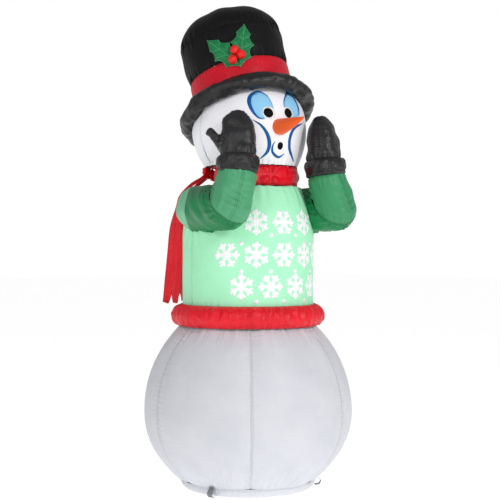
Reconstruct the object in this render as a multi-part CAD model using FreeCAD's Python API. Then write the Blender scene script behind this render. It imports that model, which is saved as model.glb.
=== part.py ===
"""Inflatable yard snowman, about 2.4 m tall, standing on its own fan-fed fabric base.

Sizes are millimetres. +Z is up, the snowman faces -Y, and its left hand is on +X. The origin is
on the floor, at the middle of the round base. An azimuth is the angle round the upright axis,
from the front (-Y) towards the snowman's left (+X).

The envelope is sewn from fabric panels. Each panel is a shell of WALL thickness, which stands for
much thinner cloth, and the panels stay SEAM apart where they are sewn together.
"""
import FreeCAD
import Part
import math
import os

Vector = FreeCAD.Vector

# ---- driving dimensions -------------------------------------------------------------------
WALL = 2.0              # thickness of every fabric panel
SEAM = 1.0              # room left between two panels that are sewn edge to edge
FIT = 0.5               # room between a piece and what it lies against

BALL_R = 517.0          # bottom snowball, widest radius
BALL_MID_Z = 383.0      # height of the widest circle
BALL_LOW_B = 445.0      # half height of the ellipse below it
BALL_HIGH_B = 555.0     # half height of the ellipse above it
BALL_TOP_Z = 815.0      # where the sweater is sewn on
BALL_PANELS = 6
FIRST_SEAM_AZ = 30.0
BAND_R = 46.0           # rounded band between the ball and the flat base
BASE_R = 292.0          # flat round base panel

SWEATER_R = 326.0
SWEATER_LOW_R = 325.0
SWEATER_BEND_Z = 1220.0
SWEATER_SHOULDER = (311.0, 1370.0)
SWEATER_TOP = (263.0, 1488.0)
HEM_R, HEM_TUBE_R, HEM_Z = 320.0, 60.0, 855.0

SWEATER_NECK = (203.0, 1493.0)              # edge of the sweater's nearly flat top
NECK_CENTRE = Vector(19, -12, 0)            # the scarf's band sits forward and to its left
NECK_LOW, NECK_MID, NECK_HIGH = (225.0, 1495.5), (231.0, 1543.0), (219.0, 1590.0)

HEAD_R = 284.0
HEAD_Z = 1775.0
HEAD_LOW_B = 339.0      # the head is a little longer downwards than a ball
NOSE_R, NOSE_LENGTH, NOSE_PITCH = 43.0, 200.0, 7.0

HAT_CENTRE = Vector(-2, 10, 1893)           # a point on the crown's axis, just below its band
HAT_AXIS = Vector(-0.078, 0.314, 0.946)     # the crown leans back and a little to its right
BRIM_CENTRE = Vector(5, 12, 1857)
BRIM_AXIS = Vector(0.05, 0.455, 0.889)      # the brim leans back further, so its front is pushed up
BRIM_R, BRIM_TUBE_R = 300.0, 43.0
BAND_LOW, BAND_HIGH = (247.0, 20.0), (249.5, 165.0)     # hat band, (radius, height over the centre)
CROWN_MID, CROWN_HIGH = (254.0, 250.0), (258.0, 345.0)
DOME_HEIGHT = 150.0
HOLLY_AZ = -27.0
LEAF_LENGTH, LEAF_HALF_WIDTH, LEAF_THICK = 220.0, 54.0, 3.0
BERRY_R = 18.0

SHOULDER = Vector(-285, 0, 1382)           # the right arm; the left one is its mirror image
ELBOW = Vector(-306, -323, 1383)
WRIST = Vector(-253, -317, 1538)
SHOULDER_R, ARM_R, ELBOW_R, WRIST_R = 107.0, 105.0, 93.0, 82.0
CUFF_LENGTH, CUFF_R = 84.0, 102.0
HAND_TIP = Vector(-236, -288, 1834)
HAND_AZ = -38.8         # the way the back of the right mitten faces
HAND_HALF_WIDTH, HAND_FLATNESS = 80.0, 0.92
THUMB_ROOT, THUMB_TIP = (-48.0, 40.0), (-134.0, 120.0)  # (across, up) from the wrist
THUMB_ROOT_R, THUMB_TIP_R = 27.0, 18.0

KNOT_AZ, KNOT_Z, KNOT_OUT = -146.0, 1543.0, 221.0
TAIL_WIDTH, TAIL_TOP_WIDTH, TAIL_FORK = 125.0, 34.0, 42.0
OUTER_TAIL_AZ, INNER_TAIL_AZ, TAIL_TWIST = -131.0, -146.0, 50.0
# (radius, height) down the middle of each hanging tail, from the knot to the hem
OUTER_TAIL = [(240, 1536), (290, 1506), (346, 1447), (358, 1385), (367, 1278), (374, 1138), (396, 935)]
INNER_TAIL = [(255, 1528), (298, 1496), (336, 1443), (350, 1385), (360, 1270), (370, 1090), (383, 935)]

STAKE_LOOP_AZ = (-62.0, 62.0, -160.0, 160.0)
STAKE_STRAP, STAKE_THICK = 28.0, 2.0
TETHER_LOOP_AZ, TETHER_LOOP_Z, TETHER_STRAP = (-168.0, 168.0), 1180.0, 22.0

FAN_Z = 134.0           # height of the fan's axis, which points backwards
FAN_FACE_Y = 490.0      # outer face of the fan's housing
FAN_BACK_Y = 372.0      # end of the housing inside the ball
FAN_SPLIT_Y = 430.0
DUCT_R, DUCT_BORE_R, INLET_R = 80.0, 75.0, 56.0
BOOT_R, BOOT_BORE_R = 86.0, 84.0
RING_R, RING_BORE_R, RING_THICK = 102.0, 79.0, 6.0
IMPELLER_R, HUB_R, BLADES = 72.0, 26.0, 7
SHAFT_R, SHAFT_FIT = 2.5, 0.05
MOTOR_R, MOTOR_CUP_R = 22.0, 28.0
GLAND_BORE_R, GLAND_R, GLAND_HEAD_R, GLAND_OUT = 3.2, 4.8, 6.4, 68.5

ZIP_Z, ZIP_AZ, ZIP_SPAN = 262.0, 159.0, 42.0
ZIP_TAPE_HALF, ZIP_TAPE_THICK = 13.0, 1.2
ZIP_COIL_HALF, ZIP_COIL_THICK = 3.0, 2.4

LAMP_HEIGHTS = (520.0, 1120.0, 1760.0)

ORIGIN, AXIS_X, AXIS_Y, AXIS_Z = Vector(0, 0, 0), Vector(1, 0, 0), Vector(0, 1, 0), Vector(0, 0, 1)
FAN_AXIS_POINT = Vector(0, 0, FAN_Z)


# ---- helpers ------------------------------------------------------------------------------
def around(azimuth, radius, height=0.0):
    """The point at an azimuth in degrees, a distance from the upright axis and a height."""
    a = math.radians(azimuth)
    return Vector(radius * math.sin(a), -radius * math.cos(a), height)


def turn_to(shape, azimuth):
    """A copy of a shape that was drawn on +X, turned about the upright axis to an azimuth."""
    turned = shape.copy()
    turned.rotate(ORIGIN, AXIS_Z, azimuth - 90)
    return turned


def line(a, b):
    return Part.LineSegment(Vector(a[0], 0, a[1]), Vector(b[0], 0, b[1])).toShape()


def smooth(points):
    """A smooth curve through (radius, height) points in the XZ plane."""
    curve = Part.BSplineCurve()
    curve.interpolate([Vector(r, 0, z) for r, z in points])
    return curve.toShape()


def ellipse_points(a, b, mid_z, low_z, high_z, count=9):
    """Points (radius, height) on an upright ellipse between two heights."""
    t0 = math.asin(max(-1.0, (low_z - mid_z) / b))
    t1 = math.asin(min(1.0, (high_z - mid_z) / b))
    steps = [t0 + (t1 - t0) * i / (count - 1) for i in range(count)]
    return [(a * math.cos(t), mid_z + b * math.sin(t)) for t in steps]


def arc_points(p1, p2, p3, inset=0.0, count=7):
    """Points on the circle through three (radius, height) points, moved in towards its centre."""
    circle = Part.Circle(*[Vector(r, 0, z) for r, z in (p1, p2, p3)])
    centre = circle.Center
    ends = [math.atan2(z - centre.z, r - centre.x) for r, z in (p1, p3)]
    turn = (ends[1] - ends[0] + math.pi) % (2 * math.pi) - math.pi
    keep = circle.Radius - inset
    steps = [ends[0] + turn * i / (count - 1) for i in range(count)]
    return [(centre.x + keep * math.cos(t), centre.z + keep * math.sin(t)) for t in steps]


def beside(path, offset):
    """A (radius, height) path moved sideways."""
    moved = []
    for i, (r, z) in enumerate(path):
        (r0, z0), (r1, z1) = path[max(i - 1, 0)], path[min(i + 1, len(path) - 1)]
        run = math.hypot(r1 - r0, z1 - z0)
        moved.append((r - offset * (z1 - z0) / run, z + offset * (r1 - r0) / run))
    return moved


def face_of(curves):
    return Part.Face(Part.Wire(Part.__sortEdges__(curves)))


def wall_face(outer_curves, inner_curves):
    """The section of a fabric wall. Each side is a list of point lists that join end to end."""
    edges = [smooth(p) if len(p) > 2 else line(*p) for p in outer_curves + inner_curves]
    edges.append(line(outer_curves[0][0], inner_curves[0][0]))
    edges.append(line(outer_curves[-1][-1], inner_curves[-1][-1]))
    return face_of(edges)


def spin(face, azimuth=0.0, span=360.0):
    """Turns a section drawn on +X about the upright axis, from an azimuth over a span."""
    return turn_to(face, azimuth).revolve(ORIGIN, AXIS_Z, span)


def solid_of(curves):
    """A solid of revolution from curves that start and end away from the axis."""
    edges = [smooth(p) if len(p) > 2 else line(*p) for p in curves]
    low, high = curves[0][0], curves[-1][-1]
    edges += [line((0, low[1]), low), line((0, low[1]), (0, high[1]))]
    if high[0] > 0:
        edges.append(line(high, (0, high[1])))
    return spin(face_of(edges))


def torus_shell(radius, tube, height):
    outer = Part.makeTorus(radius, tube, Vector(0, 0, height))
    return outer.cut(Part.makeTorus(radius, tube - WALL, Vector(0, 0, height)))


def mirrored(shape):
    return shape.mirror(ORIGIN, AXIS_X)


def rod_y(radius, y0, y1, x=0.0, z=FAN_Z):
    """A cylinder that lies along Y."""
    return Part.makeCylinder(radius, y1 - y0, Vector(x, y0, z), AXIS_Y)


def ring_y(outer, inner, y0, y1, x=0.0, z=FAN_Z):
    return rod_y(outer, y0, y1, x, z).cut(rod_y(inner, y0 - 1, y1 + 1, x, z))


def group(shapes):
    return Part.makeCompound(shapes)


# ---- profiles of the envelope -------------------------------------------------------------
def ball_curves(inset=0.0, low_z=BAND_R + SEAM, high_z=BALL_TOP_Z):
    a, low_b, high_b = BALL_R - inset, BALL_LOW_B - inset, BALL_HIGH_B - inset
    return [
        ellipse_points(a, low_b, BALL_MID_Z, low_z, BALL_MID_Z),
        ellipse_points(a, high_b, BALL_MID_Z, BALL_MID_Z, high_z),
    ]


def sweater_curves(inset=0.0):
    r, low = SWEATER_R - inset, (SWEATER_LOW_R - inset, BALL_TOP_Z + SEAM)
    slope = arc_points((SWEATER_R, SWEATER_BEND_Z), SWEATER_SHOULDER, SWEATER_TOP, inset)
    flat_top = [slope[-1], (SWEATER_NECK[0], SWEATER_NECK[1] - inset)]
    return [[low, (r, SWEATER_BEND_Z)], [(r, SWEATER_BEND_Z)] + slope[1:], flat_top]


def head_curves(inset=0.0):
    a, low_b = HEAD_R - inset, HEAD_LOW_B - inset
    top_z = HEAD_Z + 0.999 * a
    return [
        ellipse_points(a, low_b, HEAD_Z, NECK_HIGH[1] + SEAM, HEAD_Z),
        ellipse_points(a, a, HEAD_Z, HEAD_Z, top_z),
    ]


def in_hat_frame(shape):
    """Places a shape, drawn about the upright axis, round the crown's axis."""
    placed = shape.copy()
    placed.Placement = FreeCAD.Placement(HAT_CENTRE, FreeCAD.Rotation(AXIS_Z, HAT_AXIS))
    return placed


def brim_ring(tube):
    ring = Part.makeTorus(BRIM_R, tube)
    ring.Placement = FreeCAD.Placement(BRIM_CENTRE, FreeCAD.Rotation(AXIS_Z, BRIM_AXIS))
    return ring


def crown_solid(grow):
    """The solid that the hat's crown fills, grown outwards."""
    low, high = BAND_LOW[0] + grow, CROWN_HIGH[0] + grow
    return solid_of([[(low, BAND_LOW[1] - FIT), (high, CROWN_HIGH[1] + FIT)]])


# ---- the envelope -------------------------------------------------------------------------
def fan_port():
    """The hole in the ball's back that the fan's boot covers."""
    return rod_y(BOOT_BORE_R, 200, 600)


def base_parts():
    centre = (BASE_R, BAND_R)
    corner = math.sqrt(0.5)

    def quarter(radius):
        middle = (centre[0] + radius * corner, centre[1] - radius * corner)
        end = (centre[0] + radius, centre[1])
        return arc_points((centre[0], centre[1] - radius), middle, end)

    band = spin(wall_face([quarter(BAND_R)], [quarter(BAND_R - WALL)]))
    return {"base_panel": Part.makeCylinder(BASE_R - SEAM, WALL), "base_band": band}


def ball_parts():
    span = 360.0 / BALL_PANELS
    gap = math.degrees(SEAM / 2 / BALL_R)
    wall = wall_face(ball_curves(), ball_curves(WALL))
    made = {}
    for i in range(BALL_PANELS):
        start = FIRST_SEAM_AZ + i * span
        panel = spin(wall, start + gap, span - 2 * gap)
        made[f"ball_panel_{i + 1}"] = panel.cut(fan_port())
    return made


def sweater_parts(arm_hollow):
    gap = math.degrees(SEAM / 2 / SWEATER_R)
    wall = wall_face(sweater_curves(), sweater_curves(WALL))
    made = {}
    for name, start in (("sweater_front", -90), ("sweater_back", 90)):
        half = spin(wall, start + gap, 180 - 2 * gap)
        made[name] = half.cut(arm_hollow).cut(mirrored(arm_hollow))
    return made


def hem_part(body):
    ring = torus_shell(HEM_R, HEM_TUBE_R, HEM_Z).cut(body)
    return {"hem_ring": max(ring.Solids, key=lambda s: s.Volume)}


def neck_part():
    wall = wall_face([arc_points(NECK_LOW, NECK_MID, NECK_HIGH)],
                     [arc_points(NECK_LOW, NECK_MID, NECK_HIGH, WALL)])
    band = spin(wall)
    band.translate(NECK_CENTRE)
    return {"neck_band": band}


def head_parts():
    gap = math.degrees(SEAM / 2 / HEAD_R)
    wall = wall_face(head_curves(), head_curves(WALL))
    brim = brim_ring(BRIM_TUBE_R + FIT)
    crown = in_hat_frame(solid_of([[(BAND_LOW[0] + FIT, 0), (BAND_LOW[0] + FIT, 400)]]))
    made = {}
    for name, start in (("face_panel", -90), ("head_back_panel", 90)):
        half = spin(wall, start + gap, 180 - 2 * gap)
        below_hat = [s for s in half.cut(brim).cut(crown).Solids if s.CenterOfMass.z < HAT_CENTRE.z]
        made[name] = max(below_hat, key=lambda s: s.Volume)
    return made


def nose_part(head):
    """A curved hollow carrot that stands out of the face and points a little upwards."""
    def carrot(inset, length):
        half = [(NOSE_R - inset, -30), (NOSE_R - inset, 10), (0.76 * NOSE_R - inset, 0.45 * length)]
        return solid_of([half + [(0.36 * NOSE_R - inset, 0.8 * length), (0, length)]])

    shell = carrot(0, NOSE_LENGTH).cut(carrot(WALL, NOSE_LENGTH - 12))
    shell.Placement = FreeCAD.Placement(
        Vector(0, -(HEAD_R - 14), HEAD_Z), FreeCAD.Rotation(AXIS_X, 90 - NOSE_PITCH))
    outside = [s for s in shell.cut(head).Solids if s.CenterOfMass.y < -HEAD_R]
    return {"carrot_nose": max(outside, key=lambda s: s.Volume)}


def hat_parts(head):
    """Brim, skirt, band, crown and top. The skirt closes the gap under the band at the back."""
    brim = brim_ring(BRIM_TUBE_R).cut(brim_ring(BRIM_TUBE_R - WALL))
    brim = brim.cut(in_hat_frame(crown_solid(FIT + 1.5))).cut(head)
    skirt = Part.makeSphere(HEAD_R + 3 * FIT + WALL, Vector(0, 0, HEAD_Z))
    skirt = skirt.cut(Part.makeSphere(HEAD_R + 3 * FIT, Vector(0, 0, HEAD_Z)))
    skirt = skirt.cut(brim_ring(BRIM_TUBE_R + FIT)).common(half_space(BRIM_CENTRE, BRIM_AXIS, 1))
    under_band = HAT_CENTRE + HAT_AXIS * (BAND_LOW[1] - SEAM)
    skirt = skirt.common(half_space(under_band, HAT_AXIS, -1))

    def inner(p):
        return (p[0] - WALL, p[1])

    band = spin(wall_face([[BAND_LOW, BAND_HIGH]], [[inner(BAND_LOW), inner(BAND_HIGH)]]))
    crown_low = (BAND_HIGH[0] + 0.4, BAND_HIGH[1] + SEAM)
    outer = [crown_low, CROWN_MID, CROWN_HIGH]
    crown = spin(wall_face([outer], [[inner(p) for p in outer]]))
    top_z = CROWN_HIGH[1] + SEAM

    def dome(inset):
        r, h = CROWN_HIGH[0] - inset, DOME_HEIGHT - inset
        return solid_of([ellipse_points(r, h, top_z, top_z, top_z + h)])

    top = dome(0).cut(dome(WALL))
    return {
        "hat_brim": max(brim.Solids, key=lambda s: s.Volume),
        "hat_skirt": max(skirt.Solids, key=lambda s: s.Volume),
        "hat_band": in_hat_frame(band),
        "hat_crown": in_hat_frame(crown),
        "hat_top": in_hat_frame(top),
    }


def holly_outline():
    """A holly leaf that points up from (0, 0), with spikes joined by hollow curves."""
    spikes = [(0, 0), (0.85, 0.26), (1.0, 0.55), (0.62, 0.78), (0, 1)]
    right = [(x * LEAF_HALF_WIDTH, z * LEAF_LENGTH) for x, z in spikes]
    left = [(-x, z) for x, z in reversed(right[:-1])]
    corners = right + left
    edges = []
    for (x0, z0), (x1, z1) in zip(corners, corners[1:]):
        middle = Vector(0.88 * (x0 + x1) / 2, 0, (z0 + z1) / 2 + 3)
        edges.append(Part.Arc(Vector(x0, 0, z0), middle, Vector(x1, 0, z1)).toShape())
    return Part.Wire(edges)


def holly_parts():
    """Two padded leaves and three berries, sewn on the front of the crown."""
    skin = crown_solid(FIT + 4 + LEAF_THICK).cut(crown_solid(FIT + 4))
    made = {}
    leaves = (("holly_leaf_right", -5.0, 112.0, -18.0), ("holly_leaf_left", -3.5, 114.0, 36.0))
    taken = None
    for name, azimuth, height, lean in leaves:
        leaf = Part.Face(holly_outline()).extrude(Vector(0, -400, 0))
        leaf.rotate(ORIGIN, AXIS_Y, -lean)
        leaf.translate(Vector(0, 0, height))
        leaf.rotate(ORIGIN, AXIS_Z, HOLLY_AZ + azimuth)
        leaf = leaf.common(skin)
        if taken is not None:
            leaf = leaf.cut(taken)
        made[name] = in_hat_frame(leaf)
        taken = leaf
    berries = []
    out = BAND_HIGH[0] + 10 + LEAF_THICK + BERRY_R
    for azimuth, height in ((-6.6, 197.0), (-1.6, 168.0), (-10.6, 152.0)):
        spot = around(HOLLY_AZ + azimuth, out, height)
        berries.append(Part.makeSphere(BERRY_R, spot))
    made["holly_berries"] = in_hat_frame(group(berries))
    return made


# ---- arms ---------------------------------------------------------------------------------
def cone_between(a, b, radius_a, radius_b):
    return Part.makeCone(radius_a, radius_b, (b - a).Length, a, b - a)


def sleeve_solid(inset):
    """The right arm's sleeve as one solid: shoulder, upper arm, elbow and forearm."""
    forearm_end = WRIST + (WRIST - ELBOW) * 0.2
    pieces = [
        Part.makeSphere(SHOULDER_R - inset, SHOULDER, ELBOW - SHOULDER),
        cone_between(SHOULDER, ELBOW, ARM_R - inset, ELBOW_R - inset),
        Part.makeSphere(ELBOW_R - inset, ELBOW),
        cone_between(ELBOW, forearm_end, ELBOW_R - inset, WRIST_R - inset),
    ]
    return pieces[0].multiFuse(pieces[1:])


def half_space(point, normal, side):
    """A large block on one side of a plane."""
    size = 900.0
    block = Part.makeBox(size, size, size, Vector(-size / 2, -size / 2, 0 if side > 0 else -size))
    block.Placement = FreeCAD.Placement(point, FreeCAD.Rotation(AXIS_Z, normal))
    return block


def sleeve_parts(body, hollow):
    """The upper sleeve and the forearm, joined along the elbow's mitre."""
    up, fore = (ELBOW - SHOULDER), (WRIST - ELBOW)
    up.normalize()
    fore.normalize()
    mitre = up + fore
    mitre.normalize()
    shell = sleeve_solid(0).cut(hollow).cut(body)
    upper = shell.common(half_space(ELBOW - mitre * SEAM / 2, mitre, -1))
    forearm = shell.common(half_space(ELBOW + mitre * SEAM / 2, mitre, 1))
    forearm = forearm.common(half_space(WRIST, fore, -1)).common(half_space(WRIST, hand_axis(), -1))
    return {
        "upper_sleeve_right": max(upper.Solids, key=lambda s: s.Volume),
        "forearm_sleeve_right": max(forearm.Solids, key=lambda s: s.Volume),
    }


def cuff_part():
    """The rolled cuff between the forearm and the mitten."""
    low, high = (WRIST_R - 6, 2.0), (60.0, CUFF_LENGTH)
    outline = [low, (CUFF_R - 6, 8), (CUFF_R, 40), (CUFF_R - 7, CUFF_LENGTH - 8), high]
    inner = [low, (CUFF_R - 6 - WALL, 8 + WALL), (CUFF_R - WALL, 40),
             (CUFF_R - 7 - WALL, CUFF_LENGTH - 8 - WALL), (60.0, CUFF_LENGTH - WALL)]
    inner[0] = (low[0], low[1] + WALL)
    edges = [line(a, b) for side in (outline, inner) for a, b in zip(side, side[1:])]
    edges += [line(outline[0], inner[0]), line(outline[-1], inner[-1])]
    cuff = spin(face_of(edges))
    cuff.Placement = FreeCAD.Placement(WRIST, FreeCAD.Rotation(AXIS_Z, hand_axis()))
    return {"mitten_cuff_right": cuff}


def hand_axis():
    axis = HAND_TIP - WRIST
    axis.normalize()
    return axis


def mitten_part():
    """A flattened hand bag with a thumb on its outer side."""
    length = (HAND_TIP - WRIST).Length - CUFF_LENGTH - SEAM
    middle = 0.385 * length

    def bag(inset):
        ball, flat = Part.makeSphere(100), FreeCAD.Matrix()
        width, high = HAND_HALF_WIDTH - inset, length - middle - inset
        flat.scale(width / 100, HAND_FLATNESS * width / 100, high / 100)
        hand = ball.transformGeometry(flat)
        hand.translate(Vector(0, 0, middle))
        hand = hand.cut(Part.makeBox(400, 400, 200, Vector(-200, -200, inset - 200)))
        root = Vector(THUMB_ROOT[0], 0, THUMB_ROOT[1])
        tip = Vector(THUMB_TIP[0], 0, THUMB_TIP[1])
        thumb = cone_between(root, tip, THUMB_ROOT_R - inset, THUMB_TIP_R - inset)
        end = Part.makeSphere(THUMB_TIP_R - inset, tip)
        return hand.multiFuse([thumb, end])

    mitten = bag(0).cut(bag(WALL))
    turn = FreeCAD.Rotation(AXIS_Z, hand_axis()).multiply(FreeCAD.Rotation(AXIS_Z, HAND_AZ))
    start = WRIST + hand_axis() * (CUFF_LENGTH + SEAM)
    mitten.Placement = FreeCAD.Placement(start, turn)
    return {"mitten_right": max(mitten.Solids, key=lambda s: s.Volume)}


# ---- scarf --------------------------------------------------------------------------------
def knot_part(neck):
    """The bunched knot of the scarf, on the back of the neck."""
    ball = Part.makeSphere(30)
    squash = FreeCAD.Matrix()
    squash.scale(0.6, 2.0, 1.1)
    knot = ball.transformGeometry(squash)
    knot.translate(Vector(KNOT_OUT, 0, KNOT_Z))
    return {"scarf_knot": turn_to(knot, KNOT_AZ).cut(neck)}


def tail_part(path, azimuth, twist):
    """A hanging end of the scarf: narrow at the knot, wide below, with a forked end.

    Twist is how far, in degrees, its width turns away from the circle round the snowman.
    """
    turned = math.cos(math.radians(twist))
    thick = WALL / turned
    section = wall_face([beside(path, thick / 2)], [beside(path, -thick / 2)])
    half = Vector(-math.tan(math.radians(twist)), 1, 0) * (turned * TAIL_WIDTH / 2)
    section.translate(-half)
    strip = section.extrude(half * 2)
    top, low = path[0][1] + 20, path[-1][1] - 20
    narrow, wide = turned * TAIL_TOP_WIDTH / 2, turned * TAIL_WIDTH / 2
    side = [(0, top), (narrow, top), (narrow, path[3][1] + 20), (wide, low + 30), (wide, low)]
    side += [(0.35 * wide, low), (0, low + TAIL_FORK)]
    shape = [Vector(0, y, z) for y, z in side] + [Vector(0, -y, z) for y, z in reversed(side[1:-1])]
    shape.append(shape[0])
    plan = Part.Face(Part.makePolygon(shape)).extrude(Vector(600, 0, 0))
    return turn_to(strip.common(plan), azimuth)


# ---- loops for stakes and tethers -----------------------------------------------------------
def strap(path, width, thick, azimuth):
    """A webbing strap that follows (radius, height) points, laid at an azimuth."""
    face = wall_face([beside(path, thick / 2)], [beside(path, -thick / 2)])
    face.translate(Vector(0, -width / 2, 0))
    return turn_to(face.extrude(Vector(0, width, 0)), azimuth)


def loop_parts(body):
    """Webbing loops, sewn against the envelope."""
    made = {}
    stake_path = [(352, 66), (346.5, 50), (356, 36), (366, 22), (356, 6), (334, 2.5)]
    for i, azimuth in enumerate(STAKE_LOOP_AZ):
        made[f"stake_loop_{i + 1}"] = strap(stake_path, STAKE_STRAP, STAKE_THICK, azimuth)
    near, out, z = SWEATER_R + 2, SWEATER_R + 20, TETHER_LOOP_Z
    tether_path = [(near, z + 44), (near, z + 26), (out, z), (near, z - 26), (near, z - 44)]
    for side, azimuth in zip(("right", "left"), TETHER_LOOP_AZ):
        made[f"tether_loop_{side}"] = strap(tether_path, TETHER_STRAP, STAKE_THICK, azimuth)
    return {name: max(loop.cut(body).Solids, key=lambda s: s.Volume) for name, loop in made.items()}


# ---- fan ----------------------------------------------------------------------------------
def screw(x, z, y_head, length, radius=1.5, head=3.0):
    """A pan-head screw that points into the housing, with its slot on the outside."""
    shank = rod_y(radius, y_head - length, y_head, x, z)
    cap = rod_y(head, y_head, y_head + 2, x, z)
    slot = Part.makeBox(2 * head + 2, 1.0, 0.8, Vector(x - head - 1, y_head + 1.2, z - 0.4))
    return shank.fuse(cap).cut(slot)


def on_circle(radius, count, start=0.0):
    """(x, z) places evenly spaced round the fan's axis."""
    turns = [math.radians(start + 360.0 * i / count) for i in range(count)]
    return [(radius * math.cos(t), FAN_Z + radius * math.sin(t)) for t in turns]


def impeller():
    """A mixed-flow fan wheel: hub, curved blades and a hole for the shaft."""
    y0, y1 = 438.0, 474.0
    hub = rod_y(HUB_R, y0, y1 - 6)
    nose = Part.makeCone(HUB_R, HUB_R - 12, 6, Vector(0, y1 - 6, FAN_Z), AXIS_Y)
    blades = []
    for i in range(BLADES):
        sections = []
        for radius, pitch in ((HUB_R - 2, 52.0), (0.5 * (HUB_R + IMPELLER_R), 38.0), (IMPELLER_R, 28.0)):
            half_y = 15.0
            half_t = half_y / math.tan(math.radians(pitch)) * 0.8
            thick = 1.6
            corners = [(-half_t, y0 + 3), (0, y0 + 16), (half_t, y0 + 33)]
            loop = [Vector(t, y, FAN_Z + radius) for t, y in corners]
            back = [Vector(t + thick, y - thick, FAN_Z + radius) for t, y in reversed(corners)]
            sections.append(Part.makePolygon(loop + back + [loop[0]]))
        blade = Part.makeLoft(sections, True, True)
        blade.rotate(FAN_AXIS_POINT, AXIS_Y, 360.0 * i / BLADES)
        blades.append(blade)
    wheel = hub.multiFuse([nose] + blades)
    wheel = wheel.common(rod_y(IMPELLER_R, y0 - 1, y1 + 1))
    return wheel.cut(rod_y(SHAFT_R, y0 - 1, y1 + 1))


def fan_outlet_housing():
    """The inner half: duct, five stator vanes and the motor's cup."""
    duct = ring_y(DUCT_R, DUCT_BORE_R, FAN_BACK_Y, FAN_SPLIT_Y - 0.1)
    cup = rod_y(MOTOR_CUP_R, 380, 428).cut(rod_y(MOTOR_R + FIT, 383, 430))
    lip = ring_y(MOTOR_CUP_R - 1, 9, 425, 428)
    vanes = []
    for i in range(5):
        vane = Part.makeBox(3, 40, DUCT_BORE_R - MOTOR_CUP_R + 3,
                            Vector(-1.5, 384, FAN_Z + MOTOR_CUP_R - 1.5))
        vane.rotate(FAN_AXIS_POINT, AXIS_Y, 72.0 * i + 36)
        vanes.append(vane)
    bosses = [rod_y(4.5, 410, FAN_SPLIT_Y - 0.1, x, z).common(rod_y(DUCT_R, 400, 440))
              for x, z in on_circle(DUCT_BORE_R - 1, 4, 45)]
    housing = duct.multiFuse([cup, lip] + vanes + bosses)
    for x, z in on_circle(DUCT_BORE_R - 1, 4, 45):
        housing = housing.cut(rod_y(1.5, 405, 440, x, z))
    return housing


def fan_inlet_housing():
    """The outer half: duct and face plate with a rounded inlet, seen from behind the snowman."""
    duct = ring_y(DUCT_R, DUCT_BORE_R, FAN_SPLIT_Y, FAN_FACE_Y - 4)
    plate = ring_y(DUCT_R, INLET_R, FAN_FACE_Y - 4, FAN_FACE_Y)
    mouth = Part.makeTorus(INLET_R + 3, 3, Vector(0, FAN_FACE_Y - 4, FAN_Z), AXIS_Y)
    housing = duct.multiFuse([plate, mouth])
    bosses = [rod_y(4.5, FAN_SPLIT_Y, 437, x, z).common(rod_y(DUCT_R, 420, 450))
              for x, z in on_circle(DUCT_BORE_R - 1, 4, 45)]
    housing = housing.multiFuse(bosses)
    for x, z in on_circle(DUCT_BORE_R - 1, 4, 45):
        housing = housing.cut(rod_y(1.5, 425, 440, x, z))
    gx, gz = gland_place()
    return housing.cut(rod_y(GLAND_R + 0.05, 470, 500, gx, gz))


def gland_place():
    return on_circle(GLAND_OUT, 1, 270)[0]


def cable_gland():
    """The rubber grommet that the power lead leaves through."""
    x, z = gland_place()
    body = rod_y(GLAND_R, FAN_FACE_Y - 8, FAN_FACE_Y + 6, x, z)
    heads = [rod_y(GLAND_HEAD_R, FAN_FACE_Y + 0.1, FAN_FACE_Y + 3, x, z),
             rod_y(GLAND_HEAD_R, FAN_FACE_Y - 7, FAN_FACE_Y - 4.1, x, z)]
    return body.multiFuse(heads).cut(rod_y(GLAND_BORE_R, 470, 510, x, z))


def inlet_grille():
    """Finger guard: rings joined by spokes, with a button in the middle."""
    y0, y1 = FAN_FACE_Y + 0.2, FAN_FACE_Y + 4
    rings = [ring_y(r + 1.2, r - 1.2, y0, y1) for r in (22, 32, 42, 52)]
    rim = ring_y(60.5, 56.5, y0, y1)
    button = rod_y(12, y0, y1 + 2)
    spokes = []
    for i in range(8):
        spoke = Part.makeBox(2.4, y1 - y0, 49, Vector(-1.2, y0, FAN_Z + 10))
        spoke.rotate(FAN_AXIS_POINT, AXIS_Y, 45.0 * i)
        spokes.append(spoke)
    return rim.multiFuse(rings + [button] + spokes)


def fan_parts(ball):
    port = ring_y(BOOT_R, BOOT_BORE_R, 250, FAN_FACE_Y - SEAM)
    boot = [s for s in port.cut(ball).Solids if s.CenterOfMass.y > 0]
    ring_y0 = FAN_FACE_Y
    ring = ring_y(RING_R, RING_BORE_R, ring_y0, ring_y0 + RING_THICK)
    ring = ring.fuse(ring_y(RING_R, BOOT_R + FIT, ring_y0 - 8, ring_y0))
    ring = ring.cut(ball)
    ring_holes = on_circle(95.0, 6, 30)
    for x, z in ring_holes:
        ring = ring.cut(rod_y(1.5, ring_y0 - 20, ring_y0 + 20, x, z))
    feet_x = 62.0
    foot = Part.makeBox(2 * feet_x + 24, 66, 5, Vector(-feet_x - 12, 428, 0))
    posts = [Part.makeBox(10, 24, 60, Vector(x - 5, 466, 4)) for x in (-feet_x, feet_x)]
    foot = foot.multiFuse(posts).cut(rod_y(RING_R, 440, 520))
    motor = rod_y(MOTOR_R, 383.5, 424.5)
    motor = motor.cut(rod_y(SHAFT_R + SHAFT_FIT, 412, 430))
    shaft = rod_y(SHAFT_R, 414, 476)
    return {
        "port_boot": max(boot, key=lambda s: s.Volume),
        "port_ring": ring,
        "port_screws": group([screw(x, z, ring_y0 + RING_THICK, 10) for x, z in ring_holes]),
        "blower_foot": foot,
        "fan_inlet_housing": fan_inlet_housing(),
        "fan_outlet_housing": fan_outlet_housing(),
        "housing_pins": group([rod_y(1.5, 408, 436, x, z)
                               for x, z in on_circle(DUCT_BORE_R - 1, 4, 45)]),
        "inlet_grille": inlet_grille(),
        "cable_gland": cable_gland(),
        "motor": motor,
        "motor_shaft": shaft,
        "impeller": impeller(),
    }


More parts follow.
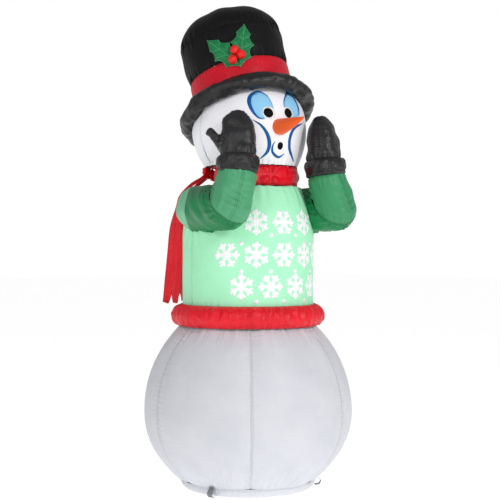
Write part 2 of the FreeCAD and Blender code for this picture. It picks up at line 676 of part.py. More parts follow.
# ---- zipper -------------------------------------------------------------------------------
def ball_radius(z, grow=0.0):
    b = BALL_LOW_B if z < BALL_MID_Z else BALL_HIGH_B
    return (BALL_R + grow) * math.sqrt(1 - ((z - BALL_MID_Z) / (b + grow)) ** 2)


def skin_strip(half, low_grow, high_grow, azimuth, span):
    """A strip that lies on the ball's back at the zipper's height."""
    heights = [ZIP_Z - half, ZIP_Z, ZIP_Z + half]
    outer = [(ball_radius(z, high_grow), z) for z in heights]
    inner = [(ball_radius(z, low_grow), z) for z in heights]
    return spin(wall_face([outer], [inner]), azimuth, span)


def zip_parts():
    """A sideways zipper over the fan: its slider runs round the ball on the zipper's coil."""
    tape_top = FIT + ZIP_TAPE_THICK
    coil_low, coil_high = tape_top + 0.2, tape_top + 0.2 + ZIP_COIL_THICK
    tape = skin_strip(ZIP_TAPE_HALF, FIT, tape_top, ZIP_AZ - 2, ZIP_SPAN + 4)
    coil = skin_strip(ZIP_COIL_HALF, coil_low, coil_high, ZIP_AZ, ZIP_SPAN)
    stops = [skin_strip(ZIP_COIL_HALF + 1, coil_low, coil_high + 1, azimuth, 0.5)
             for azimuth in (ZIP_AZ - 0.7, ZIP_AZ + ZIP_SPAN + 0.2)]
    lean = ball_slope(ZIP_Z)
    r = ball_radius(ZIP_Z)
    # the slider is drawn at the surface, outwards +X, then leaned to the wall and turned to its place
    # the wall leans, so the coil's outer edge reaches further up along it than down
    base = Part.makeBox(7.4, 17, 13.6, Vector(tape_top + 0.4, -8.5, -5.9))
    channel = Part.makeBox(3.4, 30, 2 * ZIP_COIL_HALF + 2.8,
                           Vector(tape_top, -15, -ZIP_COIL_HALF - 0.6))
    bridge = Part.makeBox(4.7, 13, 3, Vector(tape_top + 7.8, -6.5, -1.5))
    eye = Part.makeBox(3.1, 8, 5, Vector(tape_top + 7.8, -4, -2.5))
    slider = base.fuse(bridge).cut(channel).cut(eye)
    pin_x = tape_top + 9.5
    tab = Part.makeBox(1.5, 25, 10, Vector(pin_x - 0.75, 9, -5))
    arms = [Part.makeBox(1.5, 11, 2.2, Vector(pin_x - 0.75, -0.9, z)) for z in (-5.0, 2.8)]
    pin = Part.makeCylinder(0.8, 9.0, Vector(pin_x, 0, -4.5))
    hole = Part.makeCylinder(2.6, 40, Vector(pin_x - 20, 28, 0), AXIS_X)
    pull = tab.multiFuse(arms + [pin]).cut(hole)
    placed = []
    for shape in (slider, pull):
        shape.rotate(ORIGIN, AXIS_Y, lean)
        shape.translate(Vector(r, 0, ZIP_Z))
        placed.append(turn_to(shape, ZIP_AZ + 2.2))
    return {
        "zipper_tape": tape,
        "zipper_coil": coil,
        "zipper_stops": group(stops),
        "zipper_slider": placed[0],
        "zipper_pull": placed[1],
    }


def ball_slope(z):
    """How far the ball's outward normal points below the level, in degrees."""
    b = BALL_LOW_B if z < BALL_MID_Z else BALL_HIGH_B
    nr, nz = ball_radius(z) / BALL_R ** 2, (z - BALL_MID_Z) / b ** 2
    return math.degrees(math.atan2(-nz, nr))


# ---- lamps --------------------------------------------------------------------------------
def lamp_parts():
    """Three lamps clipped on tabs inside the back of the ball, the chest and the head."""
    walls = (ball_radius(LAMP_HEIGHTS[0]), SWEATER_R, HEAD_R)
    tabs, sockets, lenses = [], [], []
    for z, wall_r in zip(LAMP_HEIGHTS, walls):
        y = wall_r - 14
        tabs.append(Part.makeBox(16, 8, 1.5, Vector(-8, y - 8, z + 12)))
        clip = rod_y(4, y - 26, y - 10, 0, z + 6)
        body = Part.makeCylinder(9, 24, Vector(0, y - 26, z - 14))
        sockets.append(body.fuse(clip))
        neck = Part.makeCylinder(7, 10, Vector(0, y - 26, z - 24.2))
        dome = Part.makeSphere(12, Vector(0, y - 26, z - 32))
        lenses.append(dome.fuse(neck))
    return {"lamp_tabs": group(tabs), "lamp_sockets": group(sockets), "lamp_lenses": group(lenses)}


# ---- assembly -----------------------------------------------------------------------------
def left_and_right(parts):
    """Adds the mirror image of every right-hand part."""
    left = {name.replace("_right", "_left"): mirrored(shape) for name, shape in parts.items()}
    return {**parts, **left}


def build():
    ball = solid_of(ball_curves(-FIT))
    body = ball.fuse(solid_of(sweater_curves(-FIT)))
    head = solid_of(head_curves(-FIT))
    neck = solid_of([arc_points(NECK_LOW, NECK_MID, NECK_HIGH, -FIT)])
    neck.translate(NECK_CENTRE)
    hollow = sleeve_solid(WALL)
    parts = {}
    parts.update(base_parts())
    parts.update(ball_parts())
    parts.update(sweater_parts(hollow))
    parts.update(hem_part(body))
    parts.update(neck_part())
    parts.update(knot_part(neck))
    parts["scarf_tail_outer"] = tail_part(OUTER_TAIL, OUTER_TAIL_AZ, TAIL_TWIST)
    parts["scarf_tail_inner"] = tail_part(INNER_TAIL, INNER_TAIL_AZ, TAIL_TWIST)
    parts.update(head_parts())
    parts.update(nose_part(head))
    parts.update(hat_parts(head))
    parts.update(holly_parts())
    arm = {**sleeve_parts(body, hollow), **cuff_part(), **mitten_part()}
    parts.update(left_and_right(arm))
    parts.update(loop_parts(body))
    parts.update(fan_parts(ball))
    parts.update(zip_parts())
    parts.update(lamp_parts())
    return parts


os.makedirs("parts", exist_ok=True)
for node, shape in build().items():
    shape.exportStep(f"parts/{node}.step")
    print(f"{node}: {len(shape.Solids)} solid(s), {shape.Volume / 1000:.1f} cm3, valid {shape.isValid()}")
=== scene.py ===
"""Looks of the inflatable yard snowman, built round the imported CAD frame.

Metres. +Z is up and the snowman faces -Y. An azimuth is the angle round the upright axis, from
the front (-Y) towards the snowman's left (+X). Every fabric piece is a closed thin skin or a
closed puffed body, with its puckers, creases and seams in the mesh; weave and stitches are bump.
"""
import math

import bmesh
import bpy
import numpy as np
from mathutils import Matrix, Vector
from mathutils.geometry import delaunay_2d_cdt


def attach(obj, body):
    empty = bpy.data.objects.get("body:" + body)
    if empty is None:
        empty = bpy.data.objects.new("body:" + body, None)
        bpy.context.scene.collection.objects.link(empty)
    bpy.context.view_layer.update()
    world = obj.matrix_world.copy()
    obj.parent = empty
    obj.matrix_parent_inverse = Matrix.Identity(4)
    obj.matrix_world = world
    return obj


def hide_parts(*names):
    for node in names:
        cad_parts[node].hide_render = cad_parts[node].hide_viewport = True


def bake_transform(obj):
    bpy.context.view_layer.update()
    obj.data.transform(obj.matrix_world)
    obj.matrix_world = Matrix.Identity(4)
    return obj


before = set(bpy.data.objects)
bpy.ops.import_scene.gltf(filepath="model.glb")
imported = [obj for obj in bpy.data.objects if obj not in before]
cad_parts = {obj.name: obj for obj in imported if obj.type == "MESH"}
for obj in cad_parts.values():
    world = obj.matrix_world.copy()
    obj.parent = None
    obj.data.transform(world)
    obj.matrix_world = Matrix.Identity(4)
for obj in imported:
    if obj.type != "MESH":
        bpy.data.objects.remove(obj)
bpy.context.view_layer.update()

TAU = 2 * math.pi
X, Y, Z = np.eye(3)


# ---- small vector and noise helpers ---------------------------------------------------------
def unit(v):
    v = np.asarray(v, float)
    return v / np.maximum(np.linalg.norm(v, axis=-1, keepdims=True), 1e-12)


def polar(azimuth, radius, height):
    """Points at an azimuth in radians, a distance from the upright axis and a height."""
    azimuth, radius, height = np.broadcast_arrays(azimuth, radius, height)
    return np.stack([radius * np.sin(azimuth), -radius * np.cos(azimuth), height], -1)


def around(count):
    """Angles round a full turn, as a column."""
    return np.linspace(0, TAU, count, endpoint=False)[:, None]


def compass(azimuth):
    """Unit vectors out from the upright axis and round it, at an azimuth in radians."""
    c, s = math.cos(azimuth), math.sin(azimuth)
    return np.array([s, -c, 0]), np.array([c, s, 0])


def frame_of(axis):
    """Three axes: two across, and the given one; the first lies as near to +X as it can."""
    w = unit(axis)
    u = unit(X - w * (X @ w))
    return u, np.cross(w, u), w


def ramp(x, low, high):
    """0 below low, 1 above high, smooth between; low may be the larger."""
    t = np.clip((x - low) / (high - low), 0, 1)
    return t * t * (3 - 2 * t)


def bell(x, width):
    return np.exp(-(x / width) ** 2)


def waves(u, v, size, seed, count=7):
    """Smooth random relief of about -1 to 1 over two coordinates in metres."""
    rng = np.random.default_rng(seed)
    total = 0 * (u + v)
    for _ in range(count):
        way, phase = rng.uniform(0, TAU, 2)
        k = TAU / size * rng.uniform(0.6, 1.5)
        total = total + np.sin(k * (math.cos(way) * u + math.sin(way) * v) + phase)
    return total / math.sqrt(count)


def gathers(angle, along, low, high, seed, slant=6.0, count=6):
    """Sharp-edged folds that run across a closed ring; low and high bound their number."""
    rng = np.random.default_rng(seed)
    total = 0 * (angle + along)
    for _ in range(count):
        n = int(rng.integers(low, high + 1))
        phase = rng.uniform(0, TAU)
        k = rng.uniform(-slant, slant)
        total = total + (1 - 2 * np.abs(np.sin(0.5 * (n * angle + k * along) + phase)) ** 0.8)
    return total / math.sqrt(count)


def ring_waves(turn, round_, low, high, few, many, seed, count=9):
    """Smooth random relief on a closed ring or tube; the numbers bound its waves each way."""
    rng = np.random.default_rng(seed)
    total = 0 * (turn + round_)
    for _ in range(count):
        n, m = int(rng.integers(low, high + 1)), int(rng.integers(few, many + 1)) * rng.choice([-1, 1])
        total = total + np.sin(n * turn + m * round_ + rng.uniform(0, TAU))
    return total / math.sqrt(count)


def smooth_path(points, count):
    """Points evenly spaced along a smooth curve through the given ones."""
    p = np.asarray(points, float)
    ends = np.vstack([2 * p[0] - p[1], p, 2 * p[-1] - p[-2]])
    fine = []
    for i in range(1, len(ends) - 2):
        a, b, c, d = ends[i - 1:i + 3]
        t = np.linspace(0, 1, 24, endpoint=False)[:, None]
        fine.append(0.5 * (2 * b + (c - a) * t + (2 * a - 5 * b + 4 * c - d) * t ** 2
                           + (3 * b - a - 3 * c + d) * t ** 3))
    fine = np.vstack(fine + [p[-1:]])
    return resample(fine, count)


def resample(line, count):
    run = np.concatenate([[0], np.cumsum(np.linalg.norm(np.diff(line, axis=0), axis=1))])
    at = np.linspace(0, run[-1], count)
    return np.stack([np.interp(at, run, line[:, k]) for k in range(line.shape[1])], -1)


def arc_through(a, b, c, count=24):
    """Points on the circle through three plane points."""
    (ax, ay), (bx, by), (cx, cy) = a, b, c
    d = 2 * (ax * (by - cy) + bx * (cy - ay) + cx * (ay - by))
    sq = [x * x + y * y for x, y in (a, b, c)]
    ox = (sq[0] * (by - cy) + sq[1] * (cy - ay) + sq[2] * (ay - by)) / d
    oy = (sq[0] * (cx - bx) + sq[1] * (ax - cx) + sq[2] * (bx - ax)) / d
    r = math.hypot(ax - ox, ay - oy)
    t0, t1 = math.atan2(ay - oy, ax - ox), math.atan2(cy - oy, cx - ox)
    turn = (t1 - t0 + math.pi) % TAU - math.pi
    t = t0 + turn * np.linspace(0, 1, count)
    return np.stack([ox + r * np.cos(t), oy + r * np.sin(t)], -1)


# ---- mesh helpers ---------------------------------------------------------------------------
def grid_normals(p, wrap_u=False, wrap_v=False):
    """Unit normals of a grid of points: first axis crossed with second."""
    def slope(axis, wrap):
        if wrap:
            return np.roll(p, -1, axis) - np.roll(p, 1, axis)
        return np.gradient(p, axis=axis)
    n = np.cross(slope(0, wrap_u), slope(1, wrap_v))
    size = np.linalg.norm(n, axis=-1, keepdims=True)
    return n / np.maximum(size, 1e-9)


def lengths(p, axis, wrap):
    """Distance along a grid's lines, with one more column where the grid is closed."""
    q = np.concatenate([p, p.take([0], axis)], axis) if wrap else p
    step = np.linalg.norm(np.diff(q, axis=axis), axis=-1)
    first = np.zeros_like(step.take([0], axis))
    return np.concatenate([first, np.cumsum(step, axis)], axis)


def ring_seam(edge, turn, radius, across):
    """Seam coordinates on a ring: the distance from its sewn edges, and the distance round it."""
    return (np.pad(edge + 0 * turn, ((0, 1), (0, 0)), mode="edge"),
            np.vstack([turn, [[TAU]]]) * radius + 0 * across)


def new_object(name, verts, faces, material, layers=None, smooth=True):
    mesh = bpy.data.meshes.new(name)
    mesh.from_pydata(np.asarray(verts).tolist(), [], faces)
    for layer, uv in (layers or {}).items():
        mesh.uv_layers.new(name=layer).data.foreach_set("uv", np.asarray(uv, np.float32).ravel())
    mesh.validate()
    if smooth:
        mesh.shade_smooth()
    obj = bpy.data.objects.new(name, mesh)
    bpy.context.scene.collection.objects.link(obj)
    obj.data.materials.append(material)
    return obj


def weld(obj, distance=2e-5):
    """Joins doubled points, as at a pole, and drops faces with no area."""
    bm = bmesh.new()
    bm.from_mesh(obj.data)
    bmesh.ops.remove_doubles(bm, verts=bm.verts, dist=distance)
    bmesh.ops.dissolve_degenerate(bm, edges=bm.edges, dist=1e-6)
    bmesh.ops.recalc_face_normals(bm, faces=bm.faces)
    bm.to_mesh(obj.data)
    bm.free()
    obj.data.shade_smooth()
    return obj


def skin(name, p, material, thick=0.0016, wrap_u=False, wrap_v=False, seam=None, outward=None,
         cloth=None):
    """A closed mesh from a grid of points: a thin skin, or a puffed body if thick is 0.

    outward is a point that the outside faces away from. seam is a pair of grids, the distance
    from the nearest sewn edge and the distance along it.
    """
    nu, nv = p.shape[:2]
    normal = grid_normals(p, wrap_u, wrap_v)
    centre = p.reshape(-1, 3).mean(0) if outward is None else np.asarray(outward, float)
    out = np.sum(normal * (p - centre)) > 0
    if not out:
        normal = -normal
    iu = np.arange(nu if wrap_u else nu - 1)
    iv = np.arange(nv if wrap_v else nv - 1)
    a, b = [g.ravel() for g in np.meshgrid(iu, iv, indexing="ij")]
    a1, b1 = (a + 1) % nu, (b + 1) % nv
    quads = np.stack([a * nv + b, a1 * nv + b, a1 * nv + b1, a * nv + b1], 1)
    corner_u = np.stack([a, a + 1, a + 1, a], 1)
    corner_v = np.stack([b, b, b + 1, b + 1], 1)
    if cloth is None:
        run_u, run_v = lengths(p, 0, wrap_u), lengths(p, 1, wrap_v)
        run_u = run_u[:, run_u.shape[1] // 2][:, None] + np.zeros((1, nv + wrap_v))
        run_v = run_v[run_v.shape[0] // 2][None, :] + np.zeros((nu + wrap_u, 1))
        cloth = (run_u, run_v)
    uv = [np.stack([c[corner_u, corner_v] for c in cloth], -1)]
    if seam is None:
        seam = (np.ones((nu + 1, nv + 1)), np.zeros((nu + 1, nv + 1)))
    else:
        seam = [np.pad(s, ((0, nu + 1 - s.shape[0]), (0, nv + 1 - s.shape[1])), mode="edge") for s in seam]
    suv = [np.stack([s[corner_u, corner_v] for s in seam], -1)]
    order = slice(None) if out else slice(None, None, -1)
    faces = [quads[:, order]]
    uv[0], suv[0] = uv[0][:, order], suv[0][:, order]
    verts = p.reshape(-1, 3)
    if thick > 0:
        verts = np.vstack([verts, (p - normal * thick).reshape(-1, 3)])
        back = slice(None, None, -1) if out else slice(None)
        faces.append(quads[:, back] + nu * nv)
        uv.append(np.stack([c[corner_u, corner_v] for c in cloth], -1)[:, back])
        suv.append(np.stack([s[corner_u, corner_v] for s in seam], -1)[:, back])
        index = np.arange(nu * nv).reshape(nu, nv)
        rims = []
        if not wrap_v:
            rims += [(index[:, 0], True, wrap_u), (index[:, -1], False, wrap_u)]
        if not wrap_u:
            rims += [(index[0, :], False, wrap_v), (index[-1, :], True, wrap_v)]
        for line, flip, closed in rims:
            nxt = np.roll(line, -1) if closed else line[1:]
            here = line if closed else line[:-1]
            rim = np.stack([here, here + nu * nv, nxt + nu * nv, nxt], 1)
            if flip == out:
                rim = rim[:, ::-1]
            faces.append(rim)
            uv.append(np.zeros((len(rim), 4, 2)))
            suv.append(np.ones((len(rim), 4, 2)))
    obj = new_object(name, verts, np.vstack(faces).tolist(), material,
                     {"cloth": np.vstack(uv), "seam": np.vstack(suv)})
    return obj


def pushed(p, amount, wrap_u=False, wrap_v=False, outward=None):
    """The grid moved along its own outward normals."""
    n = grid_normals(p, wrap_u, wrap_v)
    centre = p.reshape(-1, 3).mean(0) if outward is None else np.asarray(outward, float)
    if np.sum(n * (p - centre)) < 0:
        n = -n
    return p + n * np.asarray(amount)[..., None]


def patch(name, outline, place, material, height=0.0007, sink=0.0006, spacing=0.009, relief=None,
          attribute=None):
    """A thin closed patch with a drawn outline, laid on a curved surface.

    outline is a closed plane line. place(x, y, h) gives the point h above the surface. relief
    gives more height from (x, y, distance to the edge).
    """
    line = np.asarray(outline, float)
    area = np.sum(line[:, 0] * np.roll(line[:, 1], -1) - np.roll(line[:, 0], -1) * line[:, 1])
    if area < 0:
        line = line[::-1]
    lo, hi = line.min(0), line.max(0)
    gx, gy = [g.ravel() for g in np.meshgrid(np.arange(lo[0], hi[0], spacing) + 0.37 * spacing,
                                             np.arange(lo[1], hi[1], spacing) + 0.41 * spacing)]
    pts = np.stack([gx, gy], 1)
    keep = inside(pts, line) & (edge_distance(pts, line) > 0.45 * spacing)
    pts = pts[keep]
    n = len(line)
    flat = [tuple(q) for q in np.vstack([line, pts])]
    vs, _, fs, *_ = delaunay_2d_cdt(flat, [(i, (i + 1) % n) for i in range(n)], [list(range(n))],
                                    1, 1e-7)
    vs = np.array([tuple(v) for v in vs])
    fs = np.array([list(f) for f in fs])
    d = edge_distance(vs, line)
    d[d < 1e-5] = 0
    extra = relief(vs[:, 0], vs[:, 1], d) if relief is not None else 0 * d
    top = place(vs[:, 0], vs[:, 1], height + extra)
    low = place(vs[:, 0], vs[:, 1], -sink + 0 * extra)
    tri = vs[fs]
    turn = np.cross(tri[:, 1] - tri[:, 0], tri[:, 2] - tri[:, 0])
    fs[turn < 0] = fs[turn < 0][:, ::-1]
    edges = {}
    for f in fs:
        for i in range(3):
            edges[(int(f[i]), int(f[(i + 1) % 3]))] = True
    rim = [e for e in edges if (e[1], e[0]) not in edges]
    m = len(vs)
    outer = place(vs[:1, 0] + 1e-3, vs[:1, 1], height)[0] - place(vs[:1, 0], vs[:1, 1], height)[0]
    upper = place(vs[:1, 0], vs[:1, 1] + 1e-3, height)[0] - place(vs[:1, 0], vs[:1, 1], height)[0]
    lift = place(vs[:1, 0], vs[:1, 1], height + 1e-3)[0] - place(vs[:1, 0], vs[:1, 1], height)[0]
    faces = [tuple(f) for f in fs] + [tuple(f[::-1] + m) for f in fs]
    faces += [(b, a, a + m, b + m) for a, b in rim]
    faces = [tuple(int(i) for i in f) for f in faces]
    if np.cross(outer, upper) @ lift < 0:
        faces = [f[::-1] for f in faces]
    flat_uv = np.vstack([vs, vs])
    uv = np.array([flat_uv[i] for f in faces for i in f])
    ones = np.stack([np.concatenate([d, d])[[i for f in faces for i in f]], uv[:, 0]], 1)
    obj = new_object(name, np.vstack([top, low]), faces, material, {"cloth": uv, "seam": ones})
    if attribute is not None:
        value = np.tile(attribute(vs[:, 0], vs[:, 1], d), 2)
        layer = obj.data.attributes.new("print", "FLOAT", "POINT")
        layer.data.foreach_set("value", value.astype(np.float32))
    return obj


def inside(pts, line):
    """Which points are inside a closed line."""
    x, y = pts[:, 0][:, None], pts[:, 1][:, None]
    a, b = line, np.roll(line, -1, 0)
    crosses = (a[:, 1] > y) != (b[:, 1] > y)
    at = (b[:, 0] - a[:, 0]) * (y - a[:, 1]) / (b[:, 1] - a[:, 1] + 1e-15) + a[:, 0]
    return (np.sum(crosses & (x < at), 1) % 2) == 1


def edge_distance(pts, line, closed=True):
    a = line if closed else line[:-1]
    b = np.roll(line, -1, 0) if closed else line[1:]
    best = np.full(len(pts), 1e9)
    for s, e in zip(a, b):
        t = np.clip(((pts - s) @ (e - s)) / max((e - s) @ (e - s), 1e-12), 0, 1)
        best = np.minimum(best, np.linalg.norm(pts - s - t[:, None] * (e - s), axis=1))
    return best


# ---- materials ------------------------------------------------------------------------------
class Field:
    """A number over the surface, made of shader nodes by ordinary arithmetic."""

    def __init__(self, tree, socket):
        self.tree, self.socket = tree, socket

    def math(self, operation, *others, clamp=False):
        node = self.tree.nodes.new("ShaderNodeMath")
        node.operation, node.use_clamp = operation, clamp
        for i, value in enumerate((self, *others)):
            if isinstance(value, Field):
                self.tree.links.new(value.socket, node.inputs[i])
            else:
                node.inputs[i].default_value = value
        return Field(self.tree, node.outputs[0])

    def __add__(self, other): return self.math("ADD", other)
    def __sub__(self, other): return self.math("SUBTRACT", other)
    def __mul__(self, other): return self.math("MULTIPLY", other)
    def __truediv__(self, other): return self.math("DIVIDE", other)
    def fract(self): return self.math("FRACT")
    def sin(self): return self.math("SINE")
    def size(self): return self.math("ABSOLUTE")

    def below(self, low, high):
        """1 at low and under, 0 at high and over."""
        node = self.tree.nodes.new("ShaderNodeMapRange")
        node.interpolation_type = "SMOOTHSTEP"
        self.tree.links.new(self.socket, node.inputs["Value"])
        for name, value in (("From Min", low), ("From Max", high), ("To Min", 1.0), ("To Max", 0.0)):
            node.inputs[name].default_value = value
        return Field(self.tree, node.outputs[0])


def start_material(name):
    material = bpy.data.materials.new(name)
    material.use_nodes = True
    tree = material.node_tree
    shader = tree.nodes["Principled BSDF"]
    return material, tree, shader


def uv_fields(tree, layer):
    source = tree.nodes.new("ShaderNodeUVMap")
    source.uv_map = layer
    split = tree.nodes.new("ShaderNodeSeparateXYZ")
    tree.links.new(source.outputs[0], split.inputs[0])
    return Field(tree, split.outputs[0]), Field(tree, split.outputs[1])


def noise(tree, u, v, scale_u, scale_v, detail=3.0, rough=0.55, w=0.0):
    """Noise over two fields, with its own scale along each."""
    join = tree.nodes.new("ShaderNodeCombineXYZ")
    for i, value in enumerate((u * scale_u, v * scale_v)):
        tree.links.new(value.socket, join.inputs[i])
    join.inputs[2].default_value = w
    node = tree.nodes.new("ShaderNodeTexNoise")
    node.inputs["Scale"].default_value = 1.0
    node.inputs["Detail"].default_value = detail
    node.inputs["Roughness"].default_value = rough
    tree.links.new(join.outputs[0], node.inputs["Vector"])
    return Field(tree, node.outputs[0])


def mix(tree, factor, first, second):
    node = tree.nodes.new("ShaderNodeMix")
    node.data_type = "RGBA"
    if isinstance(factor, Field):
        tree.links.new(factor.socket, node.inputs[0])
    else:
        node.inputs[0].default_value = factor
    for slot, value in ((6, first), (7, second)):
        if isinstance(value, tuple):
            node.inputs[slot].default_value = (*value, 1)
        else:
            tree.links.new(value, node.inputs[slot])
    return node.outputs[2]


def bump(tree, shader, height, depth, strength=1.0):
    node = tree.nodes.new("ShaderNodeBump")
    node.inputs["Strength"].default_value = strength
    node.inputs["Distance"].default_value = depth
    tree.links.new(height.socket, node.inputs["Height"])
    tree.links.new(node.outputs[0], shader.inputs["Normal"])


def srgb(r, g, b):
    return tuple(((c / 255 + 0.055) / 1.055) ** 2.4 if c > 10.3 else c / 255 / 12.92 for c in (r, g, b))


def nylon(name, colour, shade, rough=0.5, wrinkle=1.0, sheen=0.06, gloss=0.4, stitch=None,
          print_colour=None, painted_light=None):
    """Coated polyester taffeta: fine weave, long soft wrinkles, puckers and stitches at seams.

    shade is a darker colour, for random mottling and painted shade by seams; print_colour and painted light
    follow mesh attributes.
    """
    material, tree, shader = start_material(name)
    u, v = uv_fields(tree, "cloth")
    d, along = uv_fields(tree, "seam")
    broad = noise(tree, u, v, 5.0, 5.0, 2.0)
    colour_out = mix(tree, (broad - 0.35) * 1.6, colour, shade)
    near = d.below(0.0, 0.05)
    seam_shade = d.below(0.0, 0.012)
    row = (d - 0.0055).size().below(0.0004, 0.0010)
    dash = ((along * 260.0).fract() - 0.5).size().below(0.30, 0.36)
    stitches = row * dash
    # painted shade: darker within 12 mm of a seam or a patch's edge, in the seam valleys
    colour_out = mix(tree, seam_shade * 0.35, colour_out, shade)
    if print_colour is not None:
        node = tree.nodes.new("ShaderNodeAttribute")
        node.attribute_name = "print"
        colour_out = mix(tree, Field(tree, node.outputs["Fac"]), colour_out, print_colour)
    # painted light: a lighter colour mixed in where a mesh attribute says, on the sleeves
    if painted_light is not None:
        node = tree.nodes.new("ShaderNodeAttribute")
        node.attribute_name = "painted_light"
        colour_out = mix(tree, Field(tree, node.outputs["Fac"]), colour_out, painted_light)
    colour_out = mix(tree, stitches * 0.7, colour_out, stitch or shade)
    weave = (u * (TAU / 0.0011)).sin() * (v * (TAU / 0.0011)).sin()
    fine = noise(tree, u, v, 42.0, 16.0, 4.0, 0.6, 3.0)
    long = noise(tree, u, v, 7.0, 20.0, 3.0, 0.55, 9.0)
    pucker = noise(tree, along, d, 120.0, 14.0, 2.0, 0.5, 5.0) * near
    height = fine * 0.55 * wrinkle + long * 1.1 * wrinkle + pucker * 1.5 + weave * 0.03 - stitches * 0.4
    bump(tree, shader, height, 0.0022)
    tree.links.new(colour_out, shader.inputs["Base Color"])
    worn = noise(tree, u, v, 11.0, 11.0, 3.0, 0.6, 1.0)
    tree.links.new((worn * 0.22 + (rough - 0.11)).socket, shader.inputs["Roughness"])
    shader.inputs["Specular IOR Level"].default_value = gloss
    shader.inputs["Sheen Weight"].default_value = sheen
    shader.inputs["Sheen Roughness"].default_value = 0.4
    return material


def hard(name, colour, rough, metallic=0.0, grain=220.0, depth=0.00015, gloss=0.5):
    """Moulded plastic, rubber or metal with a fine grain, for parts with no cloth coordinates."""
    material, tree, shader = start_material(name)
    place = tree.nodes.new("ShaderNodeTexCoord")
    texture = tree.nodes.new("ShaderNodeTexNoise")
    texture.inputs["Scale"].default_value = grain
    texture.inputs["Detail"].default_value = 3.0
    tree.links.new(place.outputs["Object"], texture.inputs["Vector"])
    grain_field = Field(tree, texture.outputs[0])
    bump(tree, shader, grain_field, depth, 0.6)
    darker = tuple(0.8 * c for c in colour)
    tree.links.new(mix(tree, grain_field, darker, colour), shader.inputs["Base Color"])
    tree.links.new((grain_field * 0.2 + (rough - 0.1)).socket, shader.inputs["Roughness"])
    shader.inputs["Metallic"].default_value = metallic
    shader.inputs["Specular IOR Level"].default_value = gloss
    return material


def webbing(name, colour, shade):
    """Woven strap: ribs across, in cloth coordinates."""
    material, tree, shader = start_material(name)
    u, v = uv_fields(tree, "cloth")
    rib = (u * (TAU / 0.0016)).sin()
    cross = (v * (TAU / 0.0024)).sin()
    height = rib * 0.5 + cross * rib * 0.4
    tree.links.new(mix(tree, rib * 0.5 + 0.5, shade, colour), shader.inputs["Base Color"])
    bump(tree, shader, height, 0.0005)
    shader.inputs["Roughness"].default_value = 0.8
    shader.inputs["Sheen Weight"].default_value = 0.2
    return material


WHITE = nylon("white_nylon", srgb(214, 215, 221), srgb(200, 202, 210), 0.55, 0.9, 0.03, 0.3)
# white nylon for the head, painted lighter than the ball's white nylon: painted light
HEAD_WHITE_PAINTED_LIGHT = nylon("head_white_nylon_painted_light", srgb(250, 250, 254), srgb(240, 241, 249), 0.5, 0.7, 0.03, 0.3)
BASE_CLOTH = nylon("base_cloth", srgb(64, 64, 66), srgb(48, 48, 50), 0.8, 1.0)
MINT = nylon("mint_nylon", srgb(174, 246, 202), srgb(158, 236, 190), 0.5, 0.8, 0.03, 0.25)
# sleeve green; the lighter colour after it is painted light, at the back of the shoulder and on the forearms
GREEN = nylon("green_nylon", srgb(20, 132, 78), srgb(6, 98, 54), 0.34, 1.7, 0.0, 0.30,
              painted_light=srgb(118, 192, 150))
RED = nylon("red_nylon", srgb(234, 6, 34), srgb(196, 0, 20), 0.31, 2.2, 0.0, 0.36)
BAND_RED = nylon("band_red_nylon", srgb(210, 4, 36), srgb(178, 0, 22), 0.36, 1.6, 0.0, 0.28)
BLACK = nylon("black_nylon", srgb(17, 17, 18), srgb(9, 9, 10), 0.45, 1.5, 0.0, 0.12)
CHARCOAL = nylon("charcoal_nylon", srgb(30, 29, 32), srgb(14, 14, 16), 0.30, 2.4, 0.0, 0.42)
BRIM_CLOTH = nylon("brim_nylon", srgb(23, 22, 24), srgb(11, 11, 12), 0.30, 2.4, 0.0, 0.40)
ORANGE = nylon("orange_nylon", srgb(255, 106, 38), srgb(246, 84, 24), 0.42, 0.9, 0.02, 0.3)
LEAF = nylon("leaf_nylon", srgb(8, 120, 66), srgb(4, 96, 50), 0.40, 1.2, 0.02, 0.3,
             print_colour=srgb(84, 176, 122))
BERRY = nylon("berry_nylon", srgb(226, 18, 18), srgb(196, 6, 8), 0.36, 1.2, 0.02, 0.4)
PRINT_WHITE = nylon("white_print", srgb(255, 255, 255), srgb(252, 251, 254), 0.5, 0.6, 0.02, 0.3)
PRINT_SKY = nylon("sky_print", srgb(152, 212, 248), srgb(134, 200, 242), 0.5, 0.6, 0.02, 0.3)
PRINT_BLUE = nylon("blue_print", srgb(16, 100, 172), srgb(10, 84, 156), 0.5, 0.6, 0.0, 0.2)
PRINT_BLACK = nylon("black_print", srgb(6, 6, 7), srgb(3, 3, 3), 0.5, 0.6, 0.0, 0.1)
WEBBING = webbing("grey_webbing", srgb(150, 152, 156), srgb(112, 114, 118))
ZIP_TAPE = webbing("zip_tape", srgb(226, 227, 233), srgb(204, 205, 212))
HOUSING = hard("housing_plastic", (0.018, 0.018, 0.02), 0.5)
WHEEL = hard("impeller_plastic", (0.045, 0.045, 0.05), 0.45)
STEEL = hard("steel", (0.62, 0.62, 0.64), 0.32, 1.0, 500.0, 0.00005)
MOTOR = hard("motor_steel", (0.42, 0.42, 0.44), 0.45, 1.0, 400.0, 0.00005)
RUBBER = hard("gland_rubber", (0.012, 0.012, 0.012), 0.8, 0.0, 300.0)
ZIP_TEETH = hard("zip_teeth", (0.72, 0.72, 0.75), 0.4)
ZIP_METAL = hard("zip_metal", (0.62, 0.62, 0.65), 0.35, 0.6)
LAMP_BODY = hard("lamp_plastic", (0.62, 0.62, 0.6), 0.5)
LAMP_GLASS = hard("lamp_glass", (0.85, 0.86, 0.8), 0.25)


def finish_piece(obj, slot, *nodes, body="snowman"):
    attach(obj, body)
    if nodes:
        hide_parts(*nodes)
    return obj


# ---- bottom ball ----------------------------------------------------------------------------
BALL_R, BALL_MID, BALL_LOW, BALL_HIGH = 0.517, 0.383, 0.445, 0.555
FAN_Z, PORT_R, ZIP_Z = 0.134, 0.084, 0.262
PANEL_GAP = 0.005  # degrees left open each side of a seam


